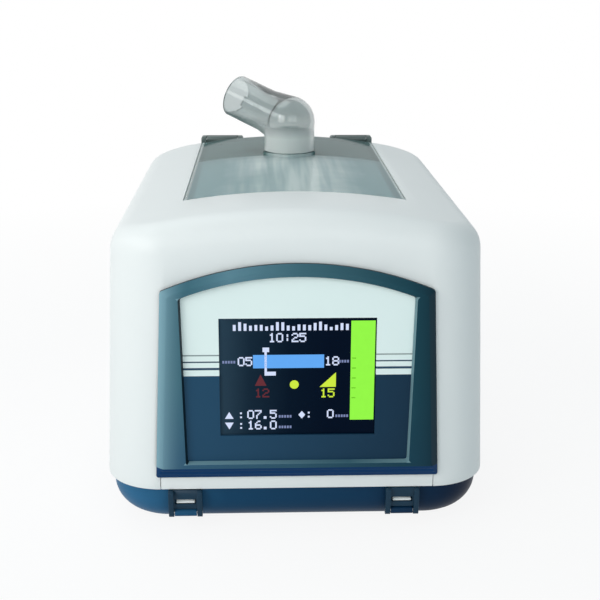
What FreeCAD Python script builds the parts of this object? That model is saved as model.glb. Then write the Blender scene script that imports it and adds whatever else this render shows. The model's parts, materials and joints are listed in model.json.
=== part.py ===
import FreeCAD, Part
import math
import os

os.makedirs("parts", exist_ok=True)

# Positive-airway-pressure machine with a heated humidifier chamber, in millimetres.
# Origin at the middle of the footprint on the table, +X to the right of the user,
# +Y from the screen towards the rear, +Z up.

# Casing
case_width = 166.5        # outside, at the lower edge
case_depth = 212.0
case_top = 140.3          # crown line above the table
case_draft = 2.9          # degrees that each side wall leans in
case_corner = 25.0        # plan radius of the upright corners
case_wall = 2.5
crown_radius = 300.0      # sideways crown of the top
top_round = 12.0          # rounding between top and walls
seam_height = 20.0        # lower edge of the casing above the table
rim_thickness = 4.5       # thicker lower rim of the casing
rim_height = 6.0

# Base tray
foot_height = 2.0         # rubber showing under the tray
foot_radius = 7.0
foot_chamfer = 0.66
foot_sink = 1.2           # depth of the pocket that holds each foot
foot_inset_x = 25.25      # foot centres from the casing's sides and ends
foot_inset_y = 28.0
tray_inset = 2.0          # tray wall inside the casing's outline
tray_corner = 26.0        # plan radius of the tray's corners
tray_round = 12.8         # curled-in lower edge
tray_wall = 4.1
tray_floor = 2.6
lip_height = 4.0          # locating lip above the seam
lip_fit = 0.4             # between the lip and the casing's rim
lip_thickness = 1.2
boss_wall = 1.2           # tube wall round each screw in the tray
rib_thickness = 1.2       # webs that tie the bosses to the walls
touch = 0.01              # how near counts as the same place when edges are picked
vent_count = 7
vent_length = 34.0
vent_width = 2.2
vent_pitch = 5.2
vent_set = 18.0           # middle of the slots behind the blower's axis

# Casing screws and their bosses
screw_inset_x = 17.25     # screws from the casing's sides and ends
screw_inset_y = 16.0
boss_radius = 4.0
boss_height = 30.3        # above the seam
screw_radius = 1.5
screw_head_radius = 3.0
screw_head = 2.0
screw_reach = 14.0        # thread standing in the casing boss
screw_fit = 0.05

screw_clearance = 0.3
screw_sink = 10.3         # screw heads' seat above the tray's underside

# Screen frame on the front face
bezel_proud = 4.0
bezel_flange = 2.4
shoulder_share = 0.8      # part of an inset that the arch's shoulders move by
bezel_lift = 6.2          # lower edge above the seam
bezel_side = 23.15        # from the casing's side to the frame's foot
bezel_taper = 4.1         # how far each side leans in
bezel_head = 20.3         # arch below the casing's crown
bezel_arch = 11.5         # rise of the arch
bezel_corner = 1.8
bezel_chamfer = 1.6
bezel_lap = 1.6           # flange width that covers the casing's opening
bezel_skirt = 1.2
bezel_skirt_depth = 9.0
bezel_gap = 0.3
ledge_count = 3
ledge_height = 1.9
ledge_step = 0.9
window_foot = 7.7         # frame band under the window
window_side_low = 13.7    # frame band beside the window, at its foot
window_side_high = 8.2    # and at the shoulder
window_head = 5.3         # frame band over the window
window_arch = 9.0
window_corner = 1.4
sill_gap = 0.25

# Front latches under the seam
latch_inset = 11.9        # from the sill's end
latch_shift = -1.4        # the pair sits a little left of the middle
latch_width = 14.4
latch_rib = 2.2
latch_plate = 1.6
latch_window_half = 4.5
latch_window_drop = 4.9   # below the seam
latch_window_height = 2.2
latch_top_gap = 0.5       # below the seam
latch_plate_height = 8.9
latch_gap = 0.3           # to the tray's wall
latch_proud = 2.0         # ribs in front of the casing's face
latch_pin_radius = 0.8
latch_tip_radius = 1.9
latch_pin_lift = 6.7      # pin axis above the tray's underside
latch_pin_set = 1.5       # pin axis in front of the tray's wall
latch_chamfer = 0.8
tray_lug_radius = 1.6
catch_set = 3.4           # rear of the catch tongue, behind the front face
catch_half = 4.0
catch_thickness = 1.6
catch_length = 7.4
catch_nub = 1.7
catch_nub_drop = 5.2      # below the seam
catch_nub_height = 1.6
catch_pocket_gap = 0.3

# Front overlay and display
overlay_thickness = 1.0
overlay_lap = 1.6
overlay_fit = 0.2
screen_width = 64.8
screen_height = 51.7
screen_lift = 11.45       # above the frame's window sill
screen_lap = 1.6
glass_thickness = 1.1
cell_thickness = 2.6
lcd_can = 3.6
lcd_border = 5.0
board_thickness = 1.6
display_board_side = 11.6 # board beyond the screen at the sides, foot and head
display_board_foot = 9.05
display_board_head = 5.25
post_radius = 3.0

# Chamber lid, its port and hinge
lid_width = 96.4
lid_front = 44.1          # from the front face to the lid's front edge
lid_rear = 11.3           # from the lid's rear edge to the rear face
lid_thickness = 3.0
lid_gap = 0.5
lid_skirt = 8.0           # depth of the casing's wall round the lid opening
skirt_wall = 2.0
hinge_set = 6.0           # hinge axis in front of the rear face
hinge_drop = 2.6          # and below the crown
knuckle_radius = 1.9
hinge_pin_radius = 0.8
pin_fit = 0.04
lug_inner = 25.0
lug_outer = 49.0
lug_cheek = 3.0
lug_gap = 0.35
lug_rise = 1.9            # lug above the hinge axis
lug_wall = 1.8
lug_round = 1.62
notch_depth = 3.4         # from the hinge axis down to the notch floor
notch_pad = 3.0
lid_rear_gap = 0.9        # between the lugs, so that the lid's edge can turn up
port_set = 57.0           # outlet axis in front of the lid's rear edge
port_radius = 11.0
port_wall = 1.8
port_height = 12.0
port_ring = 2.6
port_ring_height = 1.2
peg_radius = 2.0
peg_length = 3.0
peg_spread_x = 38.0
peg_inset = 9.0
seal_width = 3.2
seal_thickness = 1.6
seal_gap = 0.3

# Outlet elbow
elbow_fit = 0.05
elbow_wall = 1.95
elbow_rise = 16.2         # bend centre above the lid's crown
elbow_start = 1.7         # lower rim above the lid's crown
elbow_tilt = 17.6         # degrees that the arm rises
elbow_turn = 36.0         # degrees that the arm points back from straight left
ball_swell = 0.15         # ball of the bend beyond its collar
arm_reach = 14.7          # where the arm's taper meets the hose end, from the ball's middle
hose_radius = 11.0        # 22 mm breathing-hose connector
hose_length = 21.0
hose_bore = 9.4

# Humidifier well and chamber
well_wall = 2.0
well_rise = 57.7          # well's floor above the tray's floor
well_floor = 2.4
heater_radius = 34.0
heater_thickness = 3.0
heater_rise = 1.0         # heater face above the well's floor
heater_hole_gap = 0.6
heater_set = 47.9         # behind the lid's front edge
tub_gap = 0.8
tub_wall = 1.8
tub_rim = 2.4             # extra width of the rim
tub_rim_thickness = 2.0
tub_drop = 9.6            # tub's rim below the crown
tub_corner = 6.0
baffle_set = 66.7         # cross wall in front of the lid's rear edge
baffle_window = 14.0      # open height above the cross wall
plate_radius = 32.0
plate_fit = 0.1
plate_thickness = 1.2     # conducting plate under the tub

# Rear wall: air inlet, power socket and switch
filter_inset = 49.25      # from the right side to the middle of the filter
filter_lift = 15.3        # above the seam
filter_width = 50.0
filter_height = 26.0
filter_lip = 2.6          # cover flange round the opening
filter_fit = 0.35
cover_thickness = 2.0
cover_skirt = 5.0
cover_skirt_wall = 1.4
grip_proud = 4.0          # finger grip of the cover, beyond the rear face
grip_height = 2.2
grip_half = 11.0
grip_round = 0.7
louvre_count = 5
louvre_thickness = 1.2
louvre_tilt = 30.0
foam_thickness = 6.0
foam_gap = 0.4
socket_inset = 29.25      # from the left side
socket_radius = 6.0
socket_flange = 7.6
socket_flange_thickness = 1.4
socket_length = 14.0
socket_bore = 2.8
socket_bore_depth = 9.5
socket_pin = 1.25
socket_fit = 0.1
switch_step = 20.0        # from the socket to the switch
switch_drop = 0.8         # switch body below the air muffler
switch_half_x = 6.5
switch_half_z = 9.6
switch_lip = 1.6
switch_lip_thickness = 1.8
switch_body_depth = 13.0
switch_wall = 1.2
rocker_gap = 0.3
rocker_end_gap = 0.9
rocker_set = 1.0          # rocker axis in front of the rear face
rocker_proud = 2.6
rocker_dip = 0.7          # middle of the rocker's vee, as a share
rocker_back = 3.4
rocker_lean = 8.0         # degrees, half the throw
rocker_pin_radius = 0.7

# Blower
blower_x = -6.0
blower_y = 12.0
blower_lift = 19.7        # above the tray's floor
blower_height = 20.0
blower_wall = 1.8
scroll_radius = 31.0
scroll_arcs = 3           # steps by which the snail grows
scroll_step = 2.6
outlet_width = 17.0
outlet_reach = 48.0
inlet_radius = 13.0
inlet_rise = 3.0
impeller_radius = 28.0
impeller_gap = 1.0
impeller_plate = 1.4
impeller_hub = 6.0
blade_count = 11
full_turn = 360.0
blade_thickness = 1.2
blade_height = 10.5
blade_root = 11.0
blade_curve = 17.0
shaft_radius = 1.5
shaft_fit = 0.05
motor_radius = 19.0
motor_height = 12.0
motor_wall = 1.4
mount_radius = 5.0
mount_spread = 42.0
mount_angles = (62.0, -62.0, 218.0)
mount_cap = 1.6
mount_ear = 2.4
mount_neck = 2.4

# Air ducts
duct_wall = 1.6
duct_gap = 0.4
riser_radius = 8.0
riser_set = 14.7          # in front of the lid's rear edge
riser_drop = 20.4         # riser's mouth below the tub's rim
inlet_half = 18.0
muffler_reach = 46.0      # wide part of the muffler, from the rear face
filter_box_reach = 20.0   # filter box, from the rear face
well_post_radius = 3.5
well_post_inset = 0.7     # inside the well's outer faces
well_post_front = 6.9     # behind the lid's front edge
well_post_rear = 39.7     # in front of the lid's rear edge

# Main board
board_half_x = 50.0
board_half_y = 13.5
board_set = 24.0          # board's middle behind the front face
board_lift = 13.7          # above the tray's floor
board_post_radius = 2.6
board_post_inset = 4.0
connector_half = 8.0      # lead connector on the display board
capacitor_radius = 4.0
capacitor_height = 11.0
capacitor_pitch = 11.0
capacitor_count = 3
chip_x = 18.0
chip_side = 14.0
chip_thickness = 1.6


def place(x, y, z):
    return FreeCAD.Vector(x, y, z)


def block(x_low, x_high, y_low, y_high, z_low, z_high):
    size = place(x_high - x_low, y_high - y_low, z_high - z_low)
    return Part.makeBox(size.x, size.y, size.z, place(x_low, y_low, z_low))


def rod(radius, start, end):
    run = end - start
    return Part.makeCylinder(radius, run.Length, start, run)


def tube(outer, inner, start, end):
    return rod(outer, start, end).cut(rod(inner, start, end))


def fused(shapes):
    shapes = list(shapes)
    whole = shapes[0]
    if len(shapes) > 1:
        whole = whole.multiFuse(shapes[1:])
    return whole.removeSplitter()


def mirrored(shape):
    return shape.mirror(place(0, 0, 0), place(1, 0, 0))


def save(shape, name):
    shape.exportStep("parts/" + name + ".step")


def rounded_plan(half_x, half_y, radius, z, middle_y=0.0):
    """Closed rectangle with round corners, lying flat at height z."""
    flat_x = half_x - radius
    flat_y = half_y - radius
    reach = radius * math.sqrt(0.5)
    edges = []
    corners = [(1, -1), (1, 1), (-1, 1), (-1, -1)]
    ends = []
    for sign_x, sign_y in corners:
        centre = place(sign_x * flat_x, middle_y + sign_y * flat_y, z)
        side = centre + place(sign_x * radius, 0, 0)
        front = centre + place(0, sign_y * radius, 0)
        middle = centre + place(sign_x * reach, sign_y * reach, 0)
        first, last = (front, side) if sign_x * sign_y < 0 else (side, front)
        edges.append(Part.Arc(first, middle, last).toShape())
        ends.append((first, last))
    for index, (first, last) in enumerate(ends):
        following = ends[(index + 1) % len(ends)][0]
        edges.append(Part.LineSegment(last, following).toShape())
    return Part.Wire(Part.__sortEdges__(edges))


def prism(wire, height):
    return Part.Face(wire).extrude(place(0, 0, height))


def face_y(depth):
    """Y of a point this far behind the front face."""
    return depth - case_depth / 2


# Places that several pieces share
sides = (-1, 1)
front = face_y(0.0)
rear = face_y(case_depth)
rim_top = seam_height + rim_height
floor_top = foot_height + tray_floor
tray_front = front + tray_inset
screw_x = case_width / 2 - screw_inset_x
screw_y = case_depth / 2 - screw_inset_y
screw_points = [(sx * screw_x, sy * screw_y) for sx in sides for sy in sides]
screw_seat = foot_height + screw_sink
boss_top = seam_height + boss_height
foot_x = case_width / 2 - foot_inset_x
foot_y = case_depth / 2 - foot_inset_y
foot_points = [(sx * foot_x, sy * foot_y) for sx in sides for sy in sides]

bezel_low = seam_height + bezel_lift
bezel_low_half = case_width / 2 - bezel_side
bezel_high_half = bezel_low_half - bezel_taper
bezel_apex = case_top - bezel_head
bezel_shoulder = bezel_apex - bezel_arch
window_low = bezel_low + window_foot
window_low_half = bezel_low_half - window_side_low
window_high_half = bezel_high_half - window_side_high
window_apex = bezel_apex - window_head
window_shoulder = window_apex - window_arch
screen_low = window_low + screen_lift
screen_high = screen_low + screen_height
display_board_half = screen_width / 2 + display_board_side
display_board_low = screen_low - display_board_foot
display_board_high = screen_high + display_board_head
overlay_front = front - bezel_proud + bezel_flange
overlay_back = overlay_front + overlay_thickness
glass_back = overlay_back + glass_thickness
module_back = glass_back + cell_thickness + lcd_can

sill_half = bezel_low_half - bezel_lap
latch_spread = sill_half - latch_inset
latch_places = [sign * latch_spread + latch_shift for sign in sides]
latch_top = seam_height - latch_top_gap
latch_plate_low = latch_top - latch_plate_height
latch_window_high = seam_height - latch_window_drop
latch_window_low = latch_window_high - latch_window_height
latch_pin_y = tray_front - latch_pin_set
latch_pin_height = foot_height + latch_pin_lift
catch_back = front + catch_set
catch_nub_high = seam_height - catch_nub_drop
catch_nub_low = catch_nub_high - catch_nub_height

lid_front_y = front + lid_front
lid_back_y = rear - lid_rear
lid_middle_y = (lid_front_y + lid_back_y) / 2
hinge_y = rear - hinge_set
hinge_height = case_top - hinge_drop
hinge_point = place(0, hinge_y, hinge_height)
crown_drop = crown_radius - math.sqrt(crown_radius ** 2 - (lid_width / 2) ** 2)
skirt_low = case_top - crown_drop - lid_skirt
port_y = lid_back_y - port_set
well_floor_top = floor_top + well_rise
well_low = well_floor_top - well_floor
heater_top = well_floor_top + heater_rise
heater_y = lid_front_y + heater_set
tub_top = case_top - tub_drop
baffle_y = lid_back_y - baffle_set
seal_low = tub_top + seal_gap
seal_top = seal_low + seal_thickness
well_post_x = lid_width / 2 + lid_gap + well_wall - well_post_inset
well_post_points = [(sign * well_post_x, y) for sign in sides
                    for y in (lid_front_y + well_post_front, lid_back_y - well_post_rear)]

blower_low = floor_top + blower_lift
blower_top = blower_low + blower_height
scroll_left = blower_x - scroll_radius - scroll_arcs * scroll_step
outlet_x = scroll_left + outlet_width / 2
outlet_y = blower_y + outlet_reach
riser_y = lid_back_y - riser_set
riser_top = tub_top - riser_drop
muffler_low = blower_top + inlet_rise
muffler_top = well_low - heater_thickness - duct_gap
duct_rear = rear - cover_skirt - duct_gap
muffler_turn = rear - muffler_reach
muffler_front = rear - filter_box_reach
filter_x = case_width / 2 - filter_inset
filter_low = seam_height + filter_lift
filter_high = filter_low + filter_height
filter_left = filter_x - filter_width / 2
filter_right = filter_x + filter_width / 2
socket_x = socket_inset - case_width / 2
switch_x = socket_x + switch_step
switch_z = muffler_low - switch_drop - switch_half_z
socket_z = switch_z
board_y = front + board_set
board_height = floor_top + board_lift


def lean_at(z):
    """How far a side wall has leaned in at this height."""
    return math.tan(math.radians(case_draft)) * (z - seam_height)


def casing_plan(inset, z):
    half_x = case_width / 2 - inset - lean_at(z)
    return rounded_plan(half_x, case_depth / 2 - inset, case_corner - inset, z)


def casing_form(inset, z_low):
    """Drafted, crowned body with a rounded top, this far inside the outer surface."""
    above = case_top + top_round
    sides_body = Part.makeLoft([casing_plan(inset, z_low), casing_plan(inset, above)], True, True)
    radius = crown_radius - inset
    crown_z = case_top - crown_radius
    crown = rod(radius, place(0, -case_depth, crown_z), place(0, case_depth, crown_z))
    body = sides_body.common(crown)
    rims = []
    for edge in body.Edges:
        ends = [vertex.Point for vertex in edge.Vertexes]
        ends.append(edge.valueAt((edge.FirstParameter + edge.LastParameter) / 2))
        if all(abs(math.hypot(point.x, point.z - crown_z) - radius) < touch for point in ends):
            rims.append(edge)
    return body.makeFillet(top_round - inset, rims)


def below_edges(shape, z):
    """Edges that lie in the plane at this height."""
    return [edge for edge in shape.Edges
            if abs(edge.BoundBox.ZMax - z) < touch and abs(edge.BoundBox.ZMin - z) < touch]


def tray_plan(inset, z):
    inward = tray_inset + inset
    return rounded_plan(case_width / 2 - inward, case_depth / 2 - inward, tray_corner - inset, z)


def tray_form(inset, z_low, z_high):
    body = prism(tray_plan(inset, z_low), z_high - z_low)
    return body.makeFillet(tray_round - inset, below_edges(body, z_low))


def arched_outline(low_half, low, high_half, shoulder, apex, y):
    """Upright outline with straight sides and an arched top, in the plane at y."""
    low_left = place(-low_half, y, low)
    low_right = place(low_half, y, low)
    high_left = place(-high_half, y, shoulder)
    high_right = place(high_half, y, shoulder)
    edges = [
        Part.LineSegment(low_left, low_right).toShape(),
        Part.LineSegment(low_right, high_right).toShape(),
        Part.Arc(high_right, place(0, y, apex), high_left).toShape(),
        Part.LineSegment(high_left, low_left).toShape(),
    ]
    return Part.Wire(Part.__sortEdges__(edges))


def bezel_outline(inset, y):
    return arched_outline(bezel_low_half - inset, bezel_low + inset, bezel_high_half - inset,
                          bezel_shoulder - inset * shoulder_share, bezel_apex - inset, y)


def window_outline(outset, y):
    return arched_outline(window_low_half + outset, window_low - outset, window_high_half + outset,
                          window_shoulder + outset * shoulder_share, window_apex + outset, y)


def slab(wire, depth):
    """Upright plate from an outline towards the rear."""
    return Part.Face(wire).extrude(place(0, depth, 0))


def through_edges(shape, y_low, y_high):
    """Edges that run straight from front to rear between the two depths."""
    found = []
    for edge in shape.Edges:
        box = edge.BoundBox
        upright = box.XLength < touch and box.ZLength < touch
        if upright and box.YMin > y_low - touch and box.YMax < y_high + touch:
            found.append(edge)
    return found


def lid_opening(gap, z_low):
    """Upright block of the lid's outline, grown by the gap."""
    return block(-lid_width / 2 - gap, lid_width / 2 + gap, lid_front_y - gap,
                 lid_back_y + gap, z_low, case_top + top_round)


def boss_column(x, y):
    """Screw boss of the casing with two ribs that tie it to the walls."""
    ribs_low = seam_height + lip_height + rib_thickness
    half = rib_thickness / 2
    wall_x = math.copysign(case_width / 2, x)
    wall_y = math.copysign(case_depth / 2, y)
    pieces = [
        rod(boss_radius, place(x, y, seam_height), place(x, y, boss_top)),
        block(min(x, wall_x), max(x, wall_x), y - half, y + half, ribs_low, boss_top - boss_radius),
        block(x - half, x + half, min(y, wall_y), max(y, wall_y), ribs_low, boss_top - boss_radius),
    ]
    return fused(pieces)


def hinge_notches(gap):
    """Flat-floored notches behind the lid that the hinge lugs sit in."""
    notch = block(lug_inner - gap, lug_outer + gap, lid_back_y, rear, hinge_height - notch_depth,
                  case_top + top_round)
    return [notch, mirrored(notch)]


def front_opening():
    opening = slab(bezel_outline(bezel_lap, front - case_wall), rim_thickness + 2 * case_wall)
    foot = block(-sill_half, sill_half, front - case_wall, front + rim_thickness + case_wall,
                 seam_height - rim_height, bezel_low + 2 * bezel_lap)
    return fused([opening, foot])


def upper_casing():
    outer = casing_form(0.0, seam_height)
    inner = casing_form(case_wall, rim_top)
    rim_inner = prism(casing_plan(rim_thickness, seam_height), rim_height)
    shell = outer.cut(inner).cut(rim_inner)
    skirt = lid_opening(lid_gap + skirt_wall, case_top - crown_drop - lid_skirt)
    pads = block(-lug_outer - skirt_wall, lug_outer + skirt_wall, lid_back_y, rear,
                 hinge_height - notch_depth - notch_pad, case_top)
    bosses = [boss_column(x, y) for x, y in screw_points]
    inside = fused([skirt, pads] + bosses).common(outer)
    shell = fused([shell, inside])
    cuts = [lid_opening(lid_gap, seam_height), front_opening()] + hinge_notches(lug_gap)
    cuts.append(block(-lug_inner, lug_inner, lid_back_y, lid_back_y + lid_rear_gap,
                      hinge_height - notch_depth, case_top + top_round))
    cuts += [rod(screw_radius + screw_fit, place(x, y, seam_height),
                 place(x, y, seam_height + screw_reach))
             for x, y in screw_points]
    cuts += rear_openings()
    return shell.cut(Part.makeCompound(cuts)).removeSplitter()


def base_tray():
    whole = tray_form(0.0, foot_height, seam_height)
    shell = whole.cut(tray_form(tray_wall, floor_top, seam_height + lip_height))
    lip_inset = rim_thickness + lip_fit - tray_inset
    lip = prism(tray_plan(lip_inset, seam_height), lip_height)
    lip = lip.cut(prism(tray_plan(lip_inset + lip_thickness, seam_height), lip_height))
    posts = [rod(boss_radius + boss_wall, place(x, y, floor_top), place(x, y, seam_height)).common(whole)
             for x, y in screw_points]
    lugs = [tray_lug(x) for x in latch_places]
    shell = fused([shell, lip] + posts + lugs + tray_mounts())
    cuts = []
    for x, y in screw_points:
        cuts.append(rod(screw_radius + screw_clearance, place(x, y, 0), place(x, y, seam_height)))
        cuts.append(rod(screw_head_radius + screw_clearance, place(x, y, 0), place(x, y, screw_seat)))
    for x, y in foot_points:
        cuts.append(rod(foot_radius, place(x, y, 0), place(x, y, foot_height + foot_sink)))
    cuts += [catch_pocket(x) for x in latch_places]
    cuts += tray_vents()
    return shell.cut(Part.makeCompound(cuts)).removeSplitter()


def tray_lug(x):
    """Ear at the tray's lower front edge that carries a latch pin."""
    half = latch_width / 2 - latch_rib - latch_gap
    left = place(x - half, latch_pin_y, latch_pin_height)
    right = place(x + half, latch_pin_y, latch_pin_height)
    barrel = rod(tray_lug_radius, left, right)
    web = block(x - half, x + half, latch_pin_y, tray_front + tray_round,
                latch_pin_height - tray_lug_radius,
                latch_pin_height + tray_lug_radius)
    ear = fused([barrel, web]).cut(tray_form(tray_wall, floor_top, seam_height))
    ear = ear.cut(block(x - latch_width, x + latch_width, latch_pin_y, 0, 0, foot_height))
    return ear.cut(rod(latch_pin_radius, left, right))


def catch_pocket(x):
    half = catch_half + catch_pocket_gap
    return block(x - half, x + half, front, catch_back + catch_pocket_gap,
                 seam_height - catch_length - catch_pocket_gap, seam_height + lip_height)


def tray_vents():
    """Cooling slots through the tray's floor."""
    slots = []
    for index in range(vent_count):
        x = (index - (vent_count - 1) / 2) * vent_pitch
        middle = blower_y + vent_set
        slots.append(block(x - vent_width / 2, x + vent_width / 2, middle - vent_length / 2,
                           middle + vent_length / 2, 0, floor_top))
    return slots


def catch_tongue(x):
    """Tongue that hangs from the sill and carries the nub in a latch's window."""
    tongue = block(x - catch_half, x + catch_half, catch_back - catch_thickness, catch_back,
                   seam_height - catch_length, seam_height)
    nub_front = catch_back - catch_thickness - catch_nub
    points = [
        place(x - catch_half, catch_back - catch_thickness, catch_nub_low),
        place(x - catch_half, nub_front, catch_nub_low),
        place(x - catch_half, nub_front, (catch_nub_low + catch_nub_high) / 2),
        place(x - catch_half, catch_back - catch_thickness, catch_nub_high),
    ]
    nub = Part.Face(Part.makePolygon(points + points[:1])).extrude(place(2 * catch_half, 0, 0))
    return fused([tongue, nub])


def front_sill():
    outer = casing_form(0.0, seam_height)
    ring = outer.cut(prism(casing_plan(rim_thickness, seam_height), bezel_low))
    half = sill_half - sill_gap
    strip = ring.common(block(-half, half, front, 0, seam_height, bezel_low + bezel_lap))
    return fused([strip] + [catch_tongue(x) for x in latch_places])


def front_bezel():
    """Raised frame with a chamfered edge, stepped lower ledge and a skirt inside the casing."""
    plate = slab(bezel_outline(0.0, front - bezel_proud), bezel_proud)
    plate = plate.makeFillet(bezel_corner, through_edges(plate, front - bezel_proud, front))
    rims = [edge for edge in plate.Edges if edge.BoundBox.YMax < front - bezel_proud + touch
            and edge.BoundBox.ZMax > bezel_low + bezel_corner + touch]
    plate = plate.makeChamfer(bezel_chamfer, rims)
    skirt = slab(bezel_outline(bezel_lap + bezel_gap, front), bezel_skirt_depth)
    inside = slab(bezel_outline(bezel_lap + bezel_gap + bezel_skirt, front - bezel_proud + bezel_flange),
                  bezel_skirt_depth + bezel_proud)
    frame = fused([plate, skirt]).cut(inside)
    window = slab(window_outline(0.0, front - 2 * bezel_proud), bezel_skirt_depth + bezel_proud)
    window = window.makeFillet(window_corner, through_edges(window, front - 2 * bezel_proud, rear))
    frame = frame.cut(window)
    for index in range(ledge_count):
        depth = (ledge_count - index) * ledge_step
        top = bezel_low + (index + 1) * ledge_height
        frame = frame.cut(block(-case_width, case_width, front - 2 * bezel_proud,
                                front - bezel_proud + depth,
                                bezel_low - ledge_height, top))
    posts = [display_post(x, z) for x, z in display_posts()]
    return fused([frame] + posts)


def display_posts():
    return [(sign * (display_board_half - post_radius), z) for sign in sides
            for z in (display_board_low + post_radius, display_board_high - post_radius)]


def display_post(x, z):
    """Post on the frame's skirt that the display board is screwed to."""
    start = overlay_back + overlay_fit
    web_end = math.copysign(case_width / 2, x)
    half = rib_thickness / 2
    post = rod(post_radius, place(x, start, z), place(x, module_back, z))
    web = block(min(x, web_end), max(x, web_end), start, module_back, z - half, z + half)
    limit = slab(bezel_outline(bezel_lap + bezel_gap, start), bezel_skirt_depth)
    return fused([post, web]).common(limit)


def front_overlay():
    sheet = slab(window_outline(overlay_lap, overlay_front), overlay_thickness)
    sheet = sheet.makeFillet(window_corner, through_edges(sheet, overlay_front, overlay_back))
    half = screen_width / 2
    return sheet.cut(block(-half, half, front - 2 * bezel_proud, front + bezel_proud, screen_low,
                           screen_high))


def screen_block(border, y_low, y_high):
    half = screen_width / 2 + border
    return block(-half, half, y_low, y_high, screen_low - border, screen_high + border)


def display_glass():
    return screen_block(screen_lap, overlay_back, glass_back)


def lcd_module():
    cell = screen_block(screen_lap, glass_back, glass_back + cell_thickness)
    return fused([cell, screen_block(lcd_border, glass_back + cell_thickness, module_back)])


def display_board():
    half = display_board_half
    board = block(-half, half, module_back, module_back + board_thickness, display_board_low,
                  display_board_high)
    holes = [rod(screw_radius, place(x, module_back, z), place(x, module_back + board_thickness, z))
             for x, z in display_posts()]
    rear_face = module_back + board_thickness
    socket = block(-connector_half, connector_half, rear_face, rear_face + lcd_can, display_board_low,
                   display_board_low + 2 * post_radius)
    return fused([board.cut(Part.makeCompound(holes)), socket])


def main_board():
    half = board_half_x
    board = block(-half, half, board_y - board_half_y, board_y + board_half_y, board_height,
                  board_height + board_thickness)
    holes = [rod(screw_radius, place(x, y, board_height), place(x, y, board_height + board_thickness))
             for x, y in board_posts()]
    return board.cut(Part.makeCompound(holes))


def board_posts():
    return [(sx * (board_half_x - board_post_inset), board_y + sy * (board_half_y - board_post_inset))
            for sx in sides for sy in sides]


def port_point(z):
    return place(0, port_y, z)


def chamber_lid():
    """Clear crowned lid with the outlet port, seal rim and corner pegs."""
    low = case_top - crown_drop - lid_thickness
    plate = casing_form(0.0, seam_height).cut(casing_form(lid_thickness, seam_height))
    plate = plate.common(lid_opening(0.0, low - lid_thickness))
    ring = seal_ring(seal_top, case_top).common(casing_form(lid_thickness / 2, seam_height))
    boss = rod(port_radius + port_ring, port_point(case_top - lid_thickness),
               port_point(case_top + port_ring_height))
    spout = rod(port_radius, port_point(case_top - lid_thickness), port_point(case_top + port_height))
    bore = rod(port_radius - port_wall, port_point(seam_height), port_point(case_top + 2 * port_height))
    pegs = [rod(peg_radius, place(x, y, low - peg_length), place(x, y, low + lid_thickness))
            for x, y in peg_points()]
    return fused([plate, ring, boss, spout] + pegs).cut(bore)


def peg_points():
    ends = (lid_front_y + peg_inset, lid_back_y - peg_inset)
    return [(sign * peg_spread_x, y) for sign in sides for y in ends]


def hinge_end(sign, x):
    return hinge_point + place(sign * x, 0, 0)


def lid_knuckle():
    """Dark arm and barrel on the lid's rear edge, on the right side."""
    inner = lug_inner + lug_cheek + lug_gap
    outer = lug_outer - lug_cheek - lug_gap
    barrel = rod(knuckle_radius, hinge_end(1, inner), hinge_end(1, outer))
    arm = block(inner, outer, lid_back_y, hinge_y, hinge_height - notch_depth + lug_gap,
                hinge_height)
    whole = fused([barrel, arm.common(casing_form(0.0, seam_height))])
    return whole.cut(rod(hinge_pin_radius + pin_fit, hinge_end(1, inner), hinge_end(1, outer)))


def seal_ring(z_low, z_high):
    """Upright ring over the tub's rim."""
    outer = tub_plan(-tub_rim + seal_gap, z_low)
    inner = tub_plan(-tub_rim + seal_gap + seal_width, z_low)
    return prism(outer, z_high - z_low).cut(prism(inner, z_high - z_low))


def lid_seal():
    return seal_ring(seal_low, seal_top)


def hinge_lug():
    """Dark bracket at the lid's rear corner: two cheeks, a rear wall and the pin's holes."""
    top = hinge_height + lug_rise
    back = hinge_y + knuckle_radius + lug_gap
    body = block(lug_inner, lug_outer, hinge_y - knuckle_radius, back + lug_wall,
                 hinge_height - 2 * notch_depth, top)
    edges = [edge for edge in body.Edges if edge.BoundBox.ZMin > top - touch]
    body = body.makeFillet(lug_round, edges)
    pocket = block(lug_inner + lug_cheek, lug_outer - lug_cheek, lid_back_y, back,
                   hinge_height - notch_depth - lug_wall, case_top + top_round)
    seat = casing_form(0.0, seam_height).cut(Part.makeCompound(hinge_notches(0.0)))
    body = body.cut(pocket).cut(seat)
    return body.cut(rod(hinge_pin_radius, hinge_end(1, 0), hinge_end(1, lug_outer - lug_cheek / 2)))


def hinge_pins():
    end = lug_outer - lug_cheek / 2
    return Part.makeCompound([rod(hinge_pin_radius, hinge_end(sign, lug_inner), hinge_end(sign, end))
                              for sign in sides])


def elbow_arm(centre, ball):
    """Ball of the bend with its tapered arm and hose end, turned as one body."""
    rise = math.radians(elbow_tilt)
    turn = math.radians(elbow_turn)
    along = place(-math.cos(rise) * math.cos(turn), math.cos(rise) * math.sin(turn), math.sin(rise))
    across = place(math.sin(turn), math.cos(turn), 0)
    lean = math.atan2(arm_reach, hose_radius) - math.acos(ball / math.hypot(arm_reach, hose_radius))
    tip = arm_reach + hose_length
    tangent = centre + along * (ball * math.sin(lean)) + across * (ball * math.cos(lean))
    crest = (lean - math.pi / 2) / 2
    over = centre + along * (ball * math.sin(crest)) + across * (ball * math.cos(crest))
    outline = Part.Wire([
        Part.Arc(centre - along * ball, over, tangent).toShape(),
        Part.makeLine(tangent, centre + along * arm_reach + across * hose_radius),
        Part.makeLine(centre + along * arm_reach + across * hose_radius,
                      centre + along * tip + across * hose_radius),
        Part.makeLine(centre + along * tip + across * hose_radius, centre + along * tip),
        Part.makeLine(centre + along * tip, centre - along * ball),
    ])
    arm = Part.Face(outline).revolve(centre, along, full_turn)
    return arm, rod(hose_bore, centre, centre + along * tip)


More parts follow.
